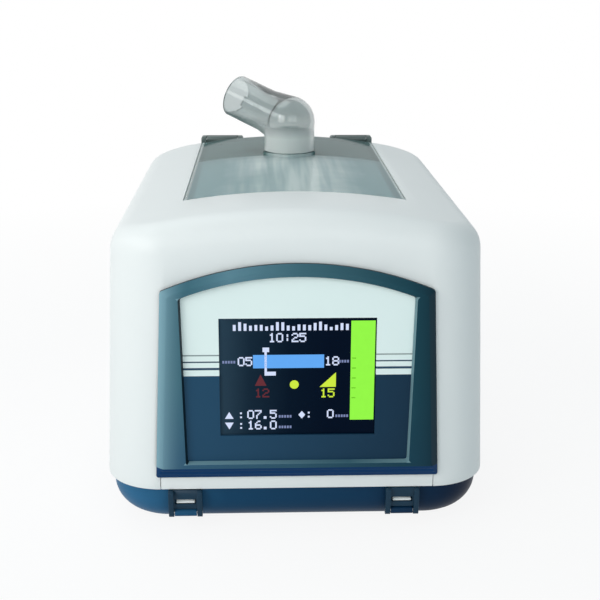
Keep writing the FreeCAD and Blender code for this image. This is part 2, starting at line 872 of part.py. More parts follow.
def outlet_elbow():
    """Clear swivel elbow: vertical collar over the port, ball bend and tapered arm."""
    centre = port_point(case_top + elbow_rise)
    start = port_point(case_top + elbow_start)
    inner = port_radius
    collar = inner + elbow_fit + elbow_wall
    arm, bore = elbow_arm(centre, collar + ball_swell)
    whole = fused([rod(collar, start, centre), arm])
    bends = [
        rod(port_radius + elbow_fit, start, port_point(case_top + port_height + elbow_fit)),
        rod(inner, start, centre),
        Part.makeSphere(inner + ball_swell, centre),
        bore,
    ]
    return whole.cut(fused(bends))


def front_latch(x):
    """Swinging latch: windowed plate between two upright ribs with round lower tips."""
    top = latch_top
    rib_front = front - latch_proud
    rib_back = tray_front - latch_gap
    plate_back = catch_back - catch_thickness - latch_gap
    knee = latch_plate_low + latch_rib
    left = x - latch_width / 2
    outline = [
        place(left, rib_front, top),
        place(left, rib_back, top),
        place(left, rib_back, knee),
        place(left, latch_pin_y + latch_tip_radius, latch_pin_height),
        place(left, latch_pin_y - latch_tip_radius, latch_pin_height),
        place(left, rib_front, knee),
    ]
    rib = Part.Face(Part.makePolygon(outline + outline[:1])).extrude(place(latch_rib, 0, 0))
    tip = rod(latch_tip_radius, place(left, latch_pin_y, latch_pin_height),
              place(left + latch_rib, latch_pin_y, latch_pin_height))
    rib = fused([rib, tip])
    edge = [item for item in rib.Edges if item.BoundBox.ZMin > top - touch
            and item.BoundBox.YMax < rib_front + touch]
    rib = rib.makeChamfer(latch_chamfer, edge)
    twin = rib.copy()
    twin.translate(place(latch_width - latch_rib, 0, 0))
    plate = block(left, left + latch_width, plate_back - latch_plate, plate_back, latch_plate_low, top)
    window = block(x - latch_window_half, x + latch_window_half, plate_back - 2 * latch_plate,
                   plate_back + latch_plate, latch_window_low, latch_window_high)
    body = fused([rib, twin, plate.cut(window)])
    pin = rod(latch_pin_radius + pin_fit, place(left, latch_pin_y, latch_pin_height),
              place(left + latch_width, latch_pin_y, latch_pin_height))
    return body.cut(pin)


def latch_pins():
    half = latch_width / 2
    return Part.makeCompound([rod(latch_pin_radius, place(x - half, latch_pin_y, latch_pin_height),
                                  place(x + half, latch_pin_y, latch_pin_height)) for x in latch_places])


def humidifier_well():
    """Open bin under the lid's opening, with a round hole for the heater and one for the riser."""
    outer = lid_opening(lid_gap + well_wall, well_low)
    inner = lid_opening(lid_gap, well_floor_top)
    bin_body = outer.cut(inner).common(block(-case_width, case_width, front, rear, well_low, skirt_low))
    holes = [
        rod(heater_radius + heater_hole_gap, place(0, heater_y, well_low),
            place(0, heater_y, well_floor_top)),
        rod(riser_radius + duct_gap, place(outlet_x, riser_y, well_low),
            place(outlet_x, riser_y, well_floor_top)),
    ]
    return bin_body.cut(Part.makeCompound(holes))


def heater_plate():
    """Metal disc that stands proud of the well's floor, with a wider flange under it."""
    disc = rod(heater_radius, place(0, heater_y, well_low), place(0, heater_y, heater_top))
    flange = rod(heater_radius + heater_thickness, place(0, heater_y, well_low - heater_thickness),
                 place(0, heater_y, well_low))
    return fused([disc, flange])


def tub_plan(inset, z):
    half_y = (lid_back_y - lid_front_y) / 2 + lid_gap - tub_gap - tub_rim - inset
    half_x = lid_width / 2 + lid_gap - tub_gap - tub_rim - inset
    return rounded_plan(half_x, half_y, max(tub_corner - inset, tub_wall / 2), z, lid_middle_y)


def water_chamber():
    """Clear tub with a rim, a cross wall and a riser that brings in the air."""
    floor_z = heater_top + tub_wall
    body = prism(tub_plan(0.0, heater_top), tub_top - heater_top)
    rim = prism(tub_plan(-tub_rim, tub_top - tub_rim_thickness), tub_rim_thickness)
    hollow = prism(tub_plan(tub_wall, floor_z), tub_top)
    tub = fused([body, rim]).cut(hollow)
    baffle = block(-lid_width / 2, lid_width / 2, baffle_y, baffle_y + tub_wall, heater_top,
                   tub_top - baffle_window)
    baffle = baffle.common(body)
    stack = rod(riser_radius, place(outlet_x, riser_y, heater_top), place(outlet_x, riser_y, riser_top))
    tub = fused([tub, baffle, stack])
    holes = [
        rod(plate_radius, place(0, heater_y, heater_top), place(0, heater_y, floor_z)),
        rod(riser_radius - tub_wall, place(outlet_x, riser_y, heater_top),
            place(outlet_x, riser_y, riser_top)),
    ]
    return tub.cut(Part.makeCompound(holes))


def conducting_plate():
    radius = plate_radius - plate_fit
    return rod(radius, place(0, heater_y, heater_top), place(0, heater_y, heater_top + plate_thickness))


def scroll_outline(inset, z):
    """Snail outline: quarter arcs that grow by one step each, then a straight outlet."""
    step = scroll_step
    small = scroll_radius - inset
    middle = small + step
    large = middle + step
    left = scroll_left + inset
    right = scroll_left + outlet_width - inset
    slope = math.sqrt(0.5)
    centre = place(blower_x, blower_y, z)
    tongue = centre + place(right - blower_x, math.sqrt(small ** 2 - (right - blower_x) ** 2), 0)
    top = centre + place(0, small, 0)
    side = centre + place(small, 0, 0)
    bottom = centre + place(-step, -middle, 0)
    turn = centre + place(-step - large, step, 0)
    half_way = (tongue - centre) + (top - centre)
    edges = [
        Part.Arc(tongue, centre + half_way * (small / half_way.Length), top).toShape(),
        Part.Arc(top, centre + place(small * slope, small * slope, 0), side).toShape(),
        Part.Arc(side, centre + place(middle * slope - step, -middle * slope, 0), bottom).toShape(),
        Part.Arc(bottom, centre + place(-step - large * slope, step - large * slope, 0), turn).toShape(),
        Part.LineSegment(turn, place(left, outlet_y, z)).toShape(),
        Part.LineSegment(place(left, outlet_y, z), place(right, outlet_y, z)).toShape(),
        Part.LineSegment(place(right, outlet_y, z), tongue).toShape(),
    ]
    return Part.Wire(Part.__sortEdges__(edges))


def blower_point(z):
    return place(blower_x, blower_y, z)


def mount_point(angle, z):
    turn = math.radians(angle)
    return blower_point(z) + place(mount_spread * math.cos(turn), mount_spread * math.sin(turn), 0)


def volute_lower():
    split = blower_low + blower_height / 2
    body = prism(scroll_outline(0.0, blower_low), split - blower_low)
    ears = []
    for angle in mount_angles:
        ear = rod(mount_radius, mount_point(angle, blower_low),
                  mount_point(angle, blower_low + mount_ear))
        web = block(0, mount_spread, -mount_radius, mount_radius, 0, mount_ear)
        web.rotate(place(0, 0, 0), place(0, 0, 1), angle)
        web.translate(blower_point(blower_low))
        ears += [ear, web]
    body = fused([body] + ears)
    hollow = prism(scroll_outline(blower_wall, blower_low + blower_wall), blower_height)
    mouth = block(scroll_left + blower_wall, scroll_left + outlet_width - blower_wall,
                  outlet_y - 2 * blower_wall,
                  outlet_y, blower_low + blower_wall, split)
    holes = [rod(mount_neck, mount_point(angle, blower_low), mount_point(angle, blower_low + mount_ear))
             for angle in mount_angles]
    holes.append(rod(shaft_radius + impeller_gap, blower_point(blower_low), blower_point(split)))
    return body.cut(Part.makeCompound([hollow, mouth] + holes))


def volute_upper():
    split = blower_low + blower_height / 2
    body = prism(scroll_outline(0.0, split), blower_top - split)
    bell = rod(inlet_radius + blower_wall, blower_point(blower_top - blower_wall),
               blower_point(muffler_low))
    hollow = prism(scroll_outline(blower_wall, split), blower_top - blower_wall - split)
    mouth = block(scroll_left + blower_wall, scroll_left + outlet_width - blower_wall,
                  outlet_y - 2 * blower_wall,
                  outlet_y, split, blower_top - blower_wall)
    eye = rod(inlet_radius, blower_point(split), blower_point(muffler_low))
    return fused([body, bell]).cut(Part.makeCompound([hollow, mouth, eye]))


def impeller_blade():
    """One swept blade: part of a thin upright ring between the root and the tip."""
    base = blower_low + blower_wall + impeller_gap
    middle = blower_point(base) + place((blade_root + impeller_radius) / 2, blade_curve / 2, 0)
    rise = place(0, 0, impeller_plate + blade_height)
    ring = tube(blade_curve, blade_curve - blade_thickness, middle, middle + rise)
    band = tube(impeller_radius, blade_root, blower_point(base), blower_point(base) + rise)
    lower = block(blower_x, blower_x + impeller_radius, blower_y - impeller_radius, middle.y, base,
                  base + rise.z)
    return ring.common(band).common(lower)


def blower_impeller():
    base = blower_low + blower_wall + impeller_gap
    plate = rod(impeller_radius, blower_point(base), blower_point(base + impeller_plate))
    hub = Part.makeCone(blade_root, impeller_hub, blade_height, blower_point(base), place(0, 0, 1))
    pieces = [plate, hub]
    for index in range(blade_count):
        blade = impeller_blade()
        blade.rotate(blower_point(0), place(0, 0, 1), full_turn / blade_count * index)
        pieces.append(blade)
    bore = rod(shaft_radius, blower_point(blower_low), blower_point(blower_top))
    return fused(pieces).cut(bore)


def motor_shaft():
    base = blower_low + blower_wall + impeller_gap
    return rod(shaft_radius, blower_point(blower_low - motor_height + motor_wall),
               blower_point(base + blade_height))


def blower_motor():
    can = rod(motor_radius, blower_point(blower_low - motor_height), blower_point(blower_low))
    edges = [edge for edge in can.Edges if edge.BoundBox.ZMax < blower_low - motor_height + touch]
    can = can.makeFillet(motor_wall, edges)
    bore = rod(shaft_radius + shaft_fit, blower_point(blower_low - motor_height + motor_wall),
               blower_point(blower_low))
    return can.cut(bore)


def blower_mounts():
    mounts = []
    for angle in mount_angles:
        ear_top = blower_low + mount_ear
        mounts.append(fused([
            rod(mount_radius, mount_point(angle, floor_top), mount_point(angle, blower_low)),
            rod(mount_neck - shaft_fit, mount_point(angle, floor_top), mount_point(angle, ear_top)),
            rod(mount_neck + mount_cap, mount_point(angle, ear_top),
                mount_point(angle, ear_top + mount_cap)),
        ]))
    return Part.makeCompound(mounts)


def air_duct():
    """Duct from the blower's outlet up through the well's floor to the tub's riser."""
    half = outlet_width / 2
    end = riser_y + riser_radius + duct_wall
    body = block(outlet_x - half, outlet_x + half, outlet_y, end, blower_low, blower_top)
    spout = rod(riser_radius, place(outlet_x, riser_y, blower_top - duct_wall),
                place(outlet_x, riser_y, heater_top - seal_gap))
    hollow = block(outlet_x - half + duct_wall, outlet_x + half - duct_wall, outlet_y, end - duct_wall,
                   blower_low + duct_wall, blower_top - duct_wall)
    throat = rod(riser_radius - duct_wall, place(outlet_x, riser_y, blower_low + duct_wall),
                 place(outlet_x, riser_y, heater_top))
    return fused([body, spout]).cut(fused([hollow, throat]))


def inlet_muffler():
    """Flat sound-damping channel from the rear filter box to the blower's inlet bell."""
    left = blower_x - inlet_half
    right = blower_x + inlet_half
    channel = [left, right, blower_y - inlet_half, duct_rear, muffler_low, muffler_top]
    branch = [left, filter_right, muffler_turn, duct_rear, muffler_low, muffler_top]
    box = [filter_left, filter_right, muffler_front, duct_rear, filter_low, muffler_top]
    outer = fused([block(*channel), block(*branch), block(*box)])
    hollows = []
    for x_low, x_high, y_low, y_high, z_low, z_high in (channel, branch, box):
        hollows.append(block(x_low + duct_wall, x_high - duct_wall, y_low + duct_wall, y_high - duct_wall,
                             z_low + duct_wall, z_high - duct_wall))
    mouth = block(filter_left + duct_wall, filter_right - duct_wall, muffler_front + duct_wall, duct_rear,
                  filter_low + duct_wall, muffler_top - duct_wall)
    eye = rod(inlet_radius, blower_point(muffler_low), blower_point(muffler_top - duct_wall))
    return outer.cut(fused(hollows + [mouth, eye]))


def inlet_filter():
    back = duct_rear - foam_gap
    inset = duct_wall + foam_gap
    return block(filter_left + inset, filter_right - inset, back - foam_thickness, back,
                 filter_low + inset, muffler_top - inset)


def rear_openings():
    """Holes in the rear wall for the filter cover, the power socket and the switch."""
    start = rear - 2 * case_wall
    end = rear + case_wall
    return [
        block(filter_left, filter_right, start, end, filter_low, filter_high),
        rod(socket_radius + socket_fit, place(socket_x, start, socket_z), place(socket_x, end, socket_z)),
        block(switch_x - switch_half_x - socket_fit, switch_x + switch_half_x + socket_fit, start, end,
              switch_z - switch_half_z - socket_fit, switch_z + switch_half_z + socket_fit),
    ]


def filter_cover():
    """Snap-out cover with tilted louvres over the air filter."""
    face = rear + seal_gap
    outer = block(filter_left - filter_lip, filter_right + filter_lip, face, face + cover_thickness,
                  filter_low - filter_lip, filter_high + filter_lip)
    edges = [edge for edge in outer.Edges if edge.BoundBox.YMin > face + cover_thickness - touch]
    outer = outer.makeFillet(cover_thickness / 2, edges)
    inset = filter_fit
    skirt = block(filter_left + inset, filter_right - inset, rear - cover_skirt, face, filter_low + inset,
                  filter_high - inset)
    wall = filter_fit + cover_skirt_wall
    hollow = block(filter_left + wall, filter_right - wall, rear - 2 * cover_skirt,
                   face + 2 * cover_thickness,
                   filter_low + wall, filter_high - wall)
    frame = fused([outer, skirt]).cut(hollow)
    grip = block(filter_x - grip_half, filter_x + grip_half, face, rear + grip_proud,
                 filter_high + filter_lip - grip_height, filter_high + filter_lip)
    crests = [edge for edge in grip.Edges if edge.BoundBox.YMin > rear + grip_proud - touch]
    grip = grip.makeFillet(grip_round, crests)
    pitch = (filter_height - 2 * wall) / louvre_count
    depth = cover_skirt / 2
    slats = []
    for index in range(louvre_count):
        z = filter_low + wall + (index + 0.5) * pitch
        slat = block(filter_left + inset, filter_right - inset, face + cover_thickness - 2 * depth,
                     face + cover_thickness - louvre_thickness / 2, z - louvre_thickness / 2,
                     z + louvre_thickness / 2)
        slat.rotate(place(0, face, z), place(1, 0, 0), -louvre_tilt)
        slats.append(slat)
    limit = block(filter_left, filter_right, rear - cover_skirt, face + cover_thickness,
                  filter_low + inset,
                  filter_high - inset)
    return fused([frame, grip] + [slat.common(limit) for slat in slats])


def power_inlet():
    axis = [place(socket_x, rear + depth, socket_z) for depth in
            (socket_flange_thickness, 0.0, -socket_length, socket_flange_thickness - socket_bore_depth)]
    face, wall, back, bottom = axis
    body = fused([rod(socket_flange, wall, face), rod(socket_radius, back, wall)])
    return fused([body.cut(rod(socket_bore, bottom, face)), rod(socket_pin, bottom, wall)])


def switch_frame():
    lip = switch_lip
    flange = block(switch_x - switch_half_x - lip, switch_x + switch_half_x + lip, rear,
                   rear + switch_lip_thickness,
                   switch_z - switch_half_z - lip, switch_z + switch_half_z + lip)
    edges = [edge for edge in flange.Edges if edge.BoundBox.YMin > rear + switch_lip_thickness - touch]
    flange = flange.makeFillet(switch_wall / 2, edges)
    body = block(switch_x - switch_half_x, switch_x + switch_half_x, rear - switch_body_depth, rear,
                 switch_z - switch_half_z, switch_z + switch_half_z)
    depth = rocker_back + rocker_set + 2 * switch_wall
    cavity = block(switch_x - switch_half_x + switch_wall, switch_x + switch_half_x - switch_wall,
                   rear - depth,
                   rear + 2 * switch_lip_thickness, switch_z - switch_half_z + switch_wall,
                   switch_z + switch_half_z - switch_wall)
    pivot = rod(rocker_pin_radius + shaft_fit, rocker_end(-1, switch_half_x),
                rocker_end(1, switch_half_x))
    return fused([flange, body]).cut(cavity).cut(pivot)


def rocker_end(sign, reach):
    return place(switch_x + sign * reach, rear - rocker_set, switch_z)


def power_switch():
    """Rocker with a shallow vee face and two trunnions, resting with its lower half pressed."""
    half = switch_half_x - switch_wall - rocker_gap
    reach = switch_half_z - switch_wall - rocker_end_gap
    y = rear - rocker_set
    x = switch_x - half
    outline = [
        place(x, y + rocker_proud, switch_z - reach),
        place(x, y + rocker_proud * rocker_dip, switch_z),
        place(x, y + rocker_proud, switch_z + reach),
        place(x, y, switch_z + reach),
        place(x, y - rocker_back, switch_z + reach / 2),
        place(x, y - rocker_back, switch_z - reach / 2),
        place(x, y, switch_z - reach),
    ]
    body = Part.Face(Part.makePolygon(outline + outline[:1])).extrude(place(2 * half, 0, 0))
    pin = rod(rocker_pin_radius, rocker_end(-1, switch_half_x - rocker_gap),
              rocker_end(1, switch_half_x - rocker_gap))
    rocker = fused([body, pin])
    rocker.rotate(rocker_end(0, 0), place(1, 0, 0), -rocker_lean)
    return rocker


def rubber_feet():
    feet = []
    for x, y in foot_points:
        foot = rod(foot_radius, place(x, y, 0), place(x, y, foot_height + foot_sink))
        edges = [edge for edge in foot.Edges if edge.BoundBox.ZMax < touch]
        feet.append(foot.makeChamfer(foot_chamfer, edges))
    return Part.makeCompound(feet)


def casing_screws():
    screws = []
    for x, y in screw_points:
        tip = seam_height + screw_reach - screw_head
        screws.append(fused([
            rod(screw_head_radius, place(x, y, screw_seat - screw_head), place(x, y, screw_seat)),
            rod(screw_radius, place(x, y, screw_seat), place(x, y, tip)),
        ]))
    return Part.makeCompound(screws)


def tray_mounts():
    """Posts on the tray's floor for the main board and the humidifier's well."""
    posts = [rod(board_post_radius, place(x, y, floor_top), place(x, y, board_height)) for x,
             y in board_posts()]
    posts += [rod(well_post_radius, place(x, y, floor_top), place(x, y, well_low)) for x,
              y in well_post_points]
    return posts


def board_parts():
    """Capacitors, a transformer block and connectors that stand on the main board."""
    top = board_height + board_thickness
    pieces = []
    for index in range(capacitor_count):
        x = -board_half_x / 2 + index * capacitor_pitch
        pieces.append(rod(capacitor_radius, place(x, board_y, top),
                          place(x, board_y, top + capacitor_height)))
    pieces.append(block(chip_x, chip_x + chip_side, board_y - chip_side / 2, board_y + chip_side / 2, top,
                        top + chip_thickness))
    pieces.append(block(-board_half_x + board_post_inset * 2, -board_half_x / 2 - capacitor_radius * 2,
                        board_y - chip_side / 2, board_y + chip_side / 2, top, top + capacitor_height / 2))
    return Part.makeCompound(pieces)


pieces_by_name = {
    "base_tray": base_tray(),
    "upper_casing": upper_casing(),
    "front_sill": front_sill(),
    "front_bezel": front_bezel(),
    "front_overlay": front_overlay(),
    "display_glass": display_glass(),
    "lcd_module": lcd_module(),
    "display_board": display_board(),
    "main_board": main_board(),
    "board_parts": board_parts(),
    "chamber_lid": chamber_lid(),
    "lid_seal": lid_seal(),
    "hinge_lug_right": hinge_lug(),
    "hinge_lug_left": mirrored(hinge_lug()),
    "lid_knuckle_right": lid_knuckle(),
    "lid_knuckle_left": mirrored(lid_knuckle()),
    "lid_hinge_pins": hinge_pins(),
    "outlet_elbow": outlet_elbow(),
    "humidifier_well": humidifier_well(),
    "heater_plate": heater_plate(),
    "water_chamber": water_chamber(),
    "conducting_plate": conducting_plate(),
    "blower_volute_lower": volute_lower(),
    "blower_volute_upper": volute_upper(),
    "blower_impeller": blower_impeller(),
    "motor_shaft": motor_shaft(),
    "blower_motor": blower_motor(),
    "blower_mounts": blower_mounts(),
    "air_duct": air_duct(),
    "inlet_muffler": inlet_muffler(),
    "inlet_filter": inlet_filter(),
    "filter_cover": filter_cover(),
    "power_inlet": power_inlet(),
    "switch_frame": switch_frame(),
    "power_switch": power_switch(),
    "front_latch_left": front_latch(latch_places[0]),
    "front_latch_right": front_latch(latch_places[1]),
    "latch_pins": latch_pins(),
    "rubber_feet": rubber_feet(),
    "casing_screws": casing_screws(),
}

for name, piece in pieces_by_name.items():
    save(piece, name)
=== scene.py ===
import json
import math

import bmesh
import bpy
from mathutils import Matrix, Vector


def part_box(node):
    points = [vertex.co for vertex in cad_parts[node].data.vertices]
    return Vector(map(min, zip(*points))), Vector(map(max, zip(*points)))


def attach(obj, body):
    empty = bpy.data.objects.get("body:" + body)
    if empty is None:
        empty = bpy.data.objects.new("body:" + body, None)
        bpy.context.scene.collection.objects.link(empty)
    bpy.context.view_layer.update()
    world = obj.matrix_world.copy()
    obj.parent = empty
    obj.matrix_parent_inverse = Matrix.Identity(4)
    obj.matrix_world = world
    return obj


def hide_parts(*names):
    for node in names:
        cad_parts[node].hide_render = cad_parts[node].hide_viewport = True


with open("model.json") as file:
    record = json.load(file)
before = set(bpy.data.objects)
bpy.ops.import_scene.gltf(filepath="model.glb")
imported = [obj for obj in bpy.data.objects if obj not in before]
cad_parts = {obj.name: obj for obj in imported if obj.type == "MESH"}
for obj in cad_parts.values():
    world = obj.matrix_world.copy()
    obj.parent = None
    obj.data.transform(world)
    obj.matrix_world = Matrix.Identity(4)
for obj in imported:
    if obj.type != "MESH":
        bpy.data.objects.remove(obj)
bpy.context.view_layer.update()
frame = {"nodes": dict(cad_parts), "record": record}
nodes = frame["nodes"]
mm = 0.001
print("frame loaded:", len(nodes), "nodes")


# shader helpers: every pattern reads Object coordinates, so it stays put on its piece
def newMaterial(name):
    material = bpy.data.materials.new(name)
    material.use_nodes = True
    tree = material.node_tree
    return material, tree, tree.nodes["Principled BSDF"]


def objectPoint(tree):
    return tree.nodes.new("ShaderNodeTexCoord").outputs["Object"]


def objectAxes(tree):
    axes = tree.nodes.new("ShaderNodeSeparateXYZ")
    tree.links.new(objectPoint(tree), axes.inputs["Vector"])
    return axes.outputs


def noiseAt(tree, point, scale, detail=3.0, rough=0.55):
    noise = tree.nodes.new("ShaderNodeTexNoise")
    noise.inputs["Scale"].default_value = scale
    noise.inputs["Detail"].default_value = detail
    noise.inputs["Roughness"].default_value = rough
    tree.links.new(point, noise.inputs["Vector"])
    return noise.outputs["Fac"]


def mapRange(tree, value, low, high, start=0.0, end=1.0):
    ramp = tree.nodes.new("ShaderNodeMapRange")
    ramp.inputs["From Min"].default_value = start
    ramp.inputs["From Max"].default_value = end
    ramp.inputs["To Min"].default_value = low
    ramp.inputs["To Max"].default_value = high
    tree.links.new(value, ramp.inputs["Value"])
    return ramp.outputs["Result"]


def mathOf(tree, operation, first, second):
    node = tree.nodes.new("ShaderNodeMath")
    node.operation = operation
    for socket, value in zip(node.inputs, (first, second)):
        if isinstance(value, (int, float)):
            socket.default_value = value
        else:
            tree.links.new(value, socket)
    return node.outputs[0]


def mixColours(tree, factor, first, second):
    mix = tree.nodes.new("ShaderNodeMix")
    mix.data_type = "RGBA"
    tree.links.new(factor, mix.inputs["Factor"])
    for socket, colour in ((mix.inputs["A"], first), (mix.inputs["B"], second)):
        if isinstance(colour, tuple):
            socket.default_value = (*colour, 1.0)
        else:
            tree.links.new(colour, socket)
    return mix.outputs["Result"]


def addBump(tree, shader, height, strength, distance):
    bump = tree.nodes.new("ShaderNodeBump")
    bump.inputs["Strength"].default_value = strength
    bump.inputs["Distance"].default_value = distance
    tree.links.new(height, bump.inputs["Height"])
    tree.links.new(bump.outputs["Normal"], shader.inputs["Normal"])


def scaled(colour, factor):
    return tuple(min(1.0, channel * factor) for channel in colour)


# linear colour from the usual 0-255 numbers
def srgb(red, green, blue):
    def channel(value):
        value /= 255
        return value / 12.92 if value <= 0.04045 else ((value + 0.055) / 1.055) ** 2.4
    return channel(red), channel(green), channel(blue)


# moulded plastic: faint uneven tone, fine spark-eroded grain and patchy gloss
plasticDefaults = {
    "mottle": 0.03, "mottleScale": 26, "specular": 0.5, "coat": 0.0, "coatRoughness": 0.12,
    "patchScale": 60, "patchDetail": 4.0, "patchSpread": 0.06,
    "grain": 2200, "grainDetail": 2.0, "depth": 0.03, "grainHeight": 0.0002,
}


def mouldedPlastic(name, s):
    s = {**plasticDefaults, **s}
    material, tree, shader = newMaterial(name)
    point = objectPoint(tree)
    colour = srgb(*s["colour"])
    darker, paler = scaled(colour, 1 - s["mottle"]), scaled(colour, 1 + s["mottle"])
    base = mixColours(tree, noiseAt(tree, point, s["mottleScale"]), darker, paler)
    tree.links.new(base, shader.inputs["Base Color"])
    patches = noiseAt(tree, point, s["patchScale"], s["patchDetail"])
    smooth, rough = s["roughness"] - s["patchSpread"], s["roughness"] + s["patchSpread"]
    tree.links.new(mapRange(tree, patches, smooth, rough), shader.inputs["Roughness"])
    shader.inputs["Specular IOR Level"].default_value = s["specular"]
    shader.inputs["Coat Weight"].default_value = s["coat"]
    shader.inputs["Coat Roughness"].default_value = s["coatRoughness"]
    grain = noiseAt(tree, point, s["grain"], s["grainDetail"])
    addBump(tree, shader, grain, s["depth"], s["grainHeight"])
    return material


# metal with a brushed tone and fine scratches
metalDefaults = {
    "toneScale": 70, "dull": 0.93, "grain": 900, "smoother": 0.08, "rougher": 0.1,
    "depth": 0.05, "grainHeight": 0.0001,
}


def metal(name, s):
    s = {**metalDefaults, **s}
    material, tree, shader = newMaterial(name)
    point = objectPoint(tree)
    colour = srgb(*s["colour"])
    base = mixColours(tree, noiseAt(tree, point, s["toneScale"]), scaled(colour, s["dull"]), colour)
    tree.links.new(base, shader.inputs["Base Color"])
    scratches = noiseAt(tree, point, s["grain"])
    smooth, rough = s["roughness"] - s["smoother"], s["roughness"] + s["rougher"]
    tree.links.new(mapRange(tree, scratches, smooth, rough), shader.inputs["Roughness"])
    shader.inputs["Metallic"].default_value = 1.0
    addBump(tree, shader, scratches, s["depth"], s["grainHeight"])
    return material


# clear moulded plastic: flow marks, and haze as a share of the light that stays in the wall
clearDefaults = {
    "toneScale": 18, "dull": 0.96, "patchScale": 35, "patchDetail": 4.0, "smoother": 0.02,
    "rougher": 0.03, "ior": 1.49, "flow": 45, "flowDetail": 1.0, "wave": 0.12, "waveHeight": 0.0004,
}


def clearPlastic(name, s):
    s = {**clearDefaults, **s}
    material, tree, shader = newMaterial(name)
    point = objectPoint(tree)
    tint = srgb(*s["colour"])
    base = mixColours(tree, noiseAt(tree, point, s["toneScale"]), scaled(tint, s["dull"]), tint)
    tree.links.new(base, shader.inputs["Base Color"])
    patches = noiseAt(tree, point, s["patchScale"], s["patchDetail"])
    smooth, rough = s["roughness"] - s["smoother"], s["roughness"] + s["rougher"]
    tree.links.new(mapRange(tree, patches, smooth, rough), shader.inputs["Roughness"])
    shader.inputs["IOR"].default_value = s["ior"]
    shader.inputs["Transmission Weight"].default_value = 1.0 - s["haze"]
    flow = noiseAt(tree, point, s["flow"], s["flowDetail"])
    addBump(tree, shader, flow, s["wave"], s["waveHeight"])
    return material


finishes = {
    "white_plastic": {"colour": (238, 239, 237), "roughness": 0.46, "depth": 0.05, "mottle": 0.012},
    "slate_plastic": {"colour": (52, 92, 106), "roughness": 0.32, "specular": 0.3, "mottle": 0.04},
    "latch": {"colour": (20, 52, 72), "roughness": 0.36, "specular": 0.2, "mottle": 0.04},
    "tray_plastic": {"colour": (18, 60, 92), "roughness": 0.42, "specular": 0.1, "mottle": 0.05},
    "dark_hinge_plastic": {"colour": (88, 102, 100), "roughness": 0.4},
    "grey_plastic": {"colour": (150, 156, 158), "roughness": 0.5},
    "well_plastic": {"colour": (150, 164, 162), "roughness": 0.5},
    "black_plastic": {"colour": (30, 31, 33), "roughness": 0.42},
    "circuit_board": {"colour": (20, 92, 62), "roughness": 0.35, "coat": 0.4},
    "rubber": {"colour": (44, 46, 48), "roughness": 0.78, "grain": 1400, "depth": 0.12},
    "silicone": {"colour": (205, 214, 212), "roughness": 0.5},
    "filter_foam": {"colour": (225, 227, 222), "roughness": 0.95, "grain": 700, "depth": 0.9},
    "display_glass": {"colour": (6, 14, 34), "roughness": 0.12, "depth": 0.0, "specular": 0.03},
}
metals = {
    "steel": {"colour": (196, 198, 200), "roughness": 0.28},
    "aluminium": {"colour": (210, 212, 214), "roughness": 0.34},
}
clears = {
    "clear_plastic": {"colour": (214, 222, 222), "roughness": 0.05, "haze": 0.08},
    "outlet_elbow": {"colour": (194, 203, 203), "roughness": 0.08, "haze": 0.14, "wave": 0.08},
    "chamber_lid": {"colour": (172, 200, 202), "roughness": 0.1, "haze": 0.5, "wave": 0.06,
                    "ior": 1.06},
}
materials = {name: mouldedPlastic(name, s) for name, s in finishes.items()}
materials.update({name: metal(name, s) for name, s in metals.items()})
materials.update({name: clearPlastic(name, s) for name, s in clears.items()})

# printed sheet round the display: pale above, three rules, and a dark field that deepens to the
# right as painted shade; a rule has its height, half its thickness and its ink
overlayPrint = {
    "pale": (238, 250, 246), "dull": 0.985, "toneScale": 40,
    "dark": (36, 76, 104), "deep": (16, 48, 70), "half": 48.0, "fieldTop": 72.2,
    "rules": ((75.3, 0.5, (46, 74, 98)), (78.3, 0.3, (60, 82, 98)), (81.2, 0.28, (138, 150, 148))),
    "smooth": 0.3, "rough": 0.4, "patchScale": 70, "patchDetail": 4.0, "specular": 0.12,
    "grain": 3000, "grainDetail": 2.0, "depth": 0.02, "grainHeight": 0.0001,
}


def overlayMaterial(s):
    material, tree, shader = newMaterial("overlaySheet")
    point, axes = objectPoint(tree), objectAxes(tree)
    pale = srgb(*s["pale"])
    colour = mixColours(tree, noiseAt(tree, point, s["toneScale"]), scaled(pale, s["dull"]), pale)
    for level, half, ink in s["rules"]:
        off = mathOf(tree, "ABSOLUTE", mathOf(tree, "SUBTRACT", axes["Z"], level * mm), 0.0)
        inked = mathOf(tree, "LESS_THAN", off, half * mm)
        colour = mixColours(tree, inked, colour, srgb(*ink))
    # the dark field turns darker towards the right as painted shade
    aside = mapRange(tree, axes["X"], 0.0, 1.0, -s["half"] * mm, s["half"] * mm)
    field = mixColours(tree, aside, srgb(*s["dark"]), srgb(*s["deep"]))
    inField = mathOf(tree, "LESS_THAN", axes["Z"], s["fieldTop"] * mm)
    tree.links.new(mixColours(tree, inField, colour, field), shader.inputs["Base Color"])
    patches = noiseAt(tree, point, s["patchScale"], s["patchDetail"])
    tree.links.new(mapRange(tree, patches, s["smooth"], s["rough"]), shader.inputs["Roughness"])
    shader.inputs["Specular IOR Level"].default_value = s["specular"]
    grain = noiseAt(tree, point, s["grain"], s["grainDetail"])
    addBump(tree, shader, grain, s["depth"], s["grainHeight"])
    return material


materials["overlay_print"] = overlayMaterial(overlayPrint)

# lid over the water tub: a pale streak from the port to the front edge as a painted reflection,
# painted shade behind the tub's cross wall, and a painted highlight along its side edges
lidPaintedLight = {
    "half": 21.0, "fade": 13.0, "wanderScale": 30, "pale": (242, 250, 248),
    "rays": 150, "rayDetail": 2.0, "rayStretch": 0.05, "rayFrom": 0.45,
    "rayWeak": 0.4, "rayStrong": 0.62,
    "back": 31.0, "backSoft": 1.6, "dark": (124, 152, 150),
    "edge": 46.9, "edgeSoft": 0.3, "edgePale": (222, 232, 230),
}


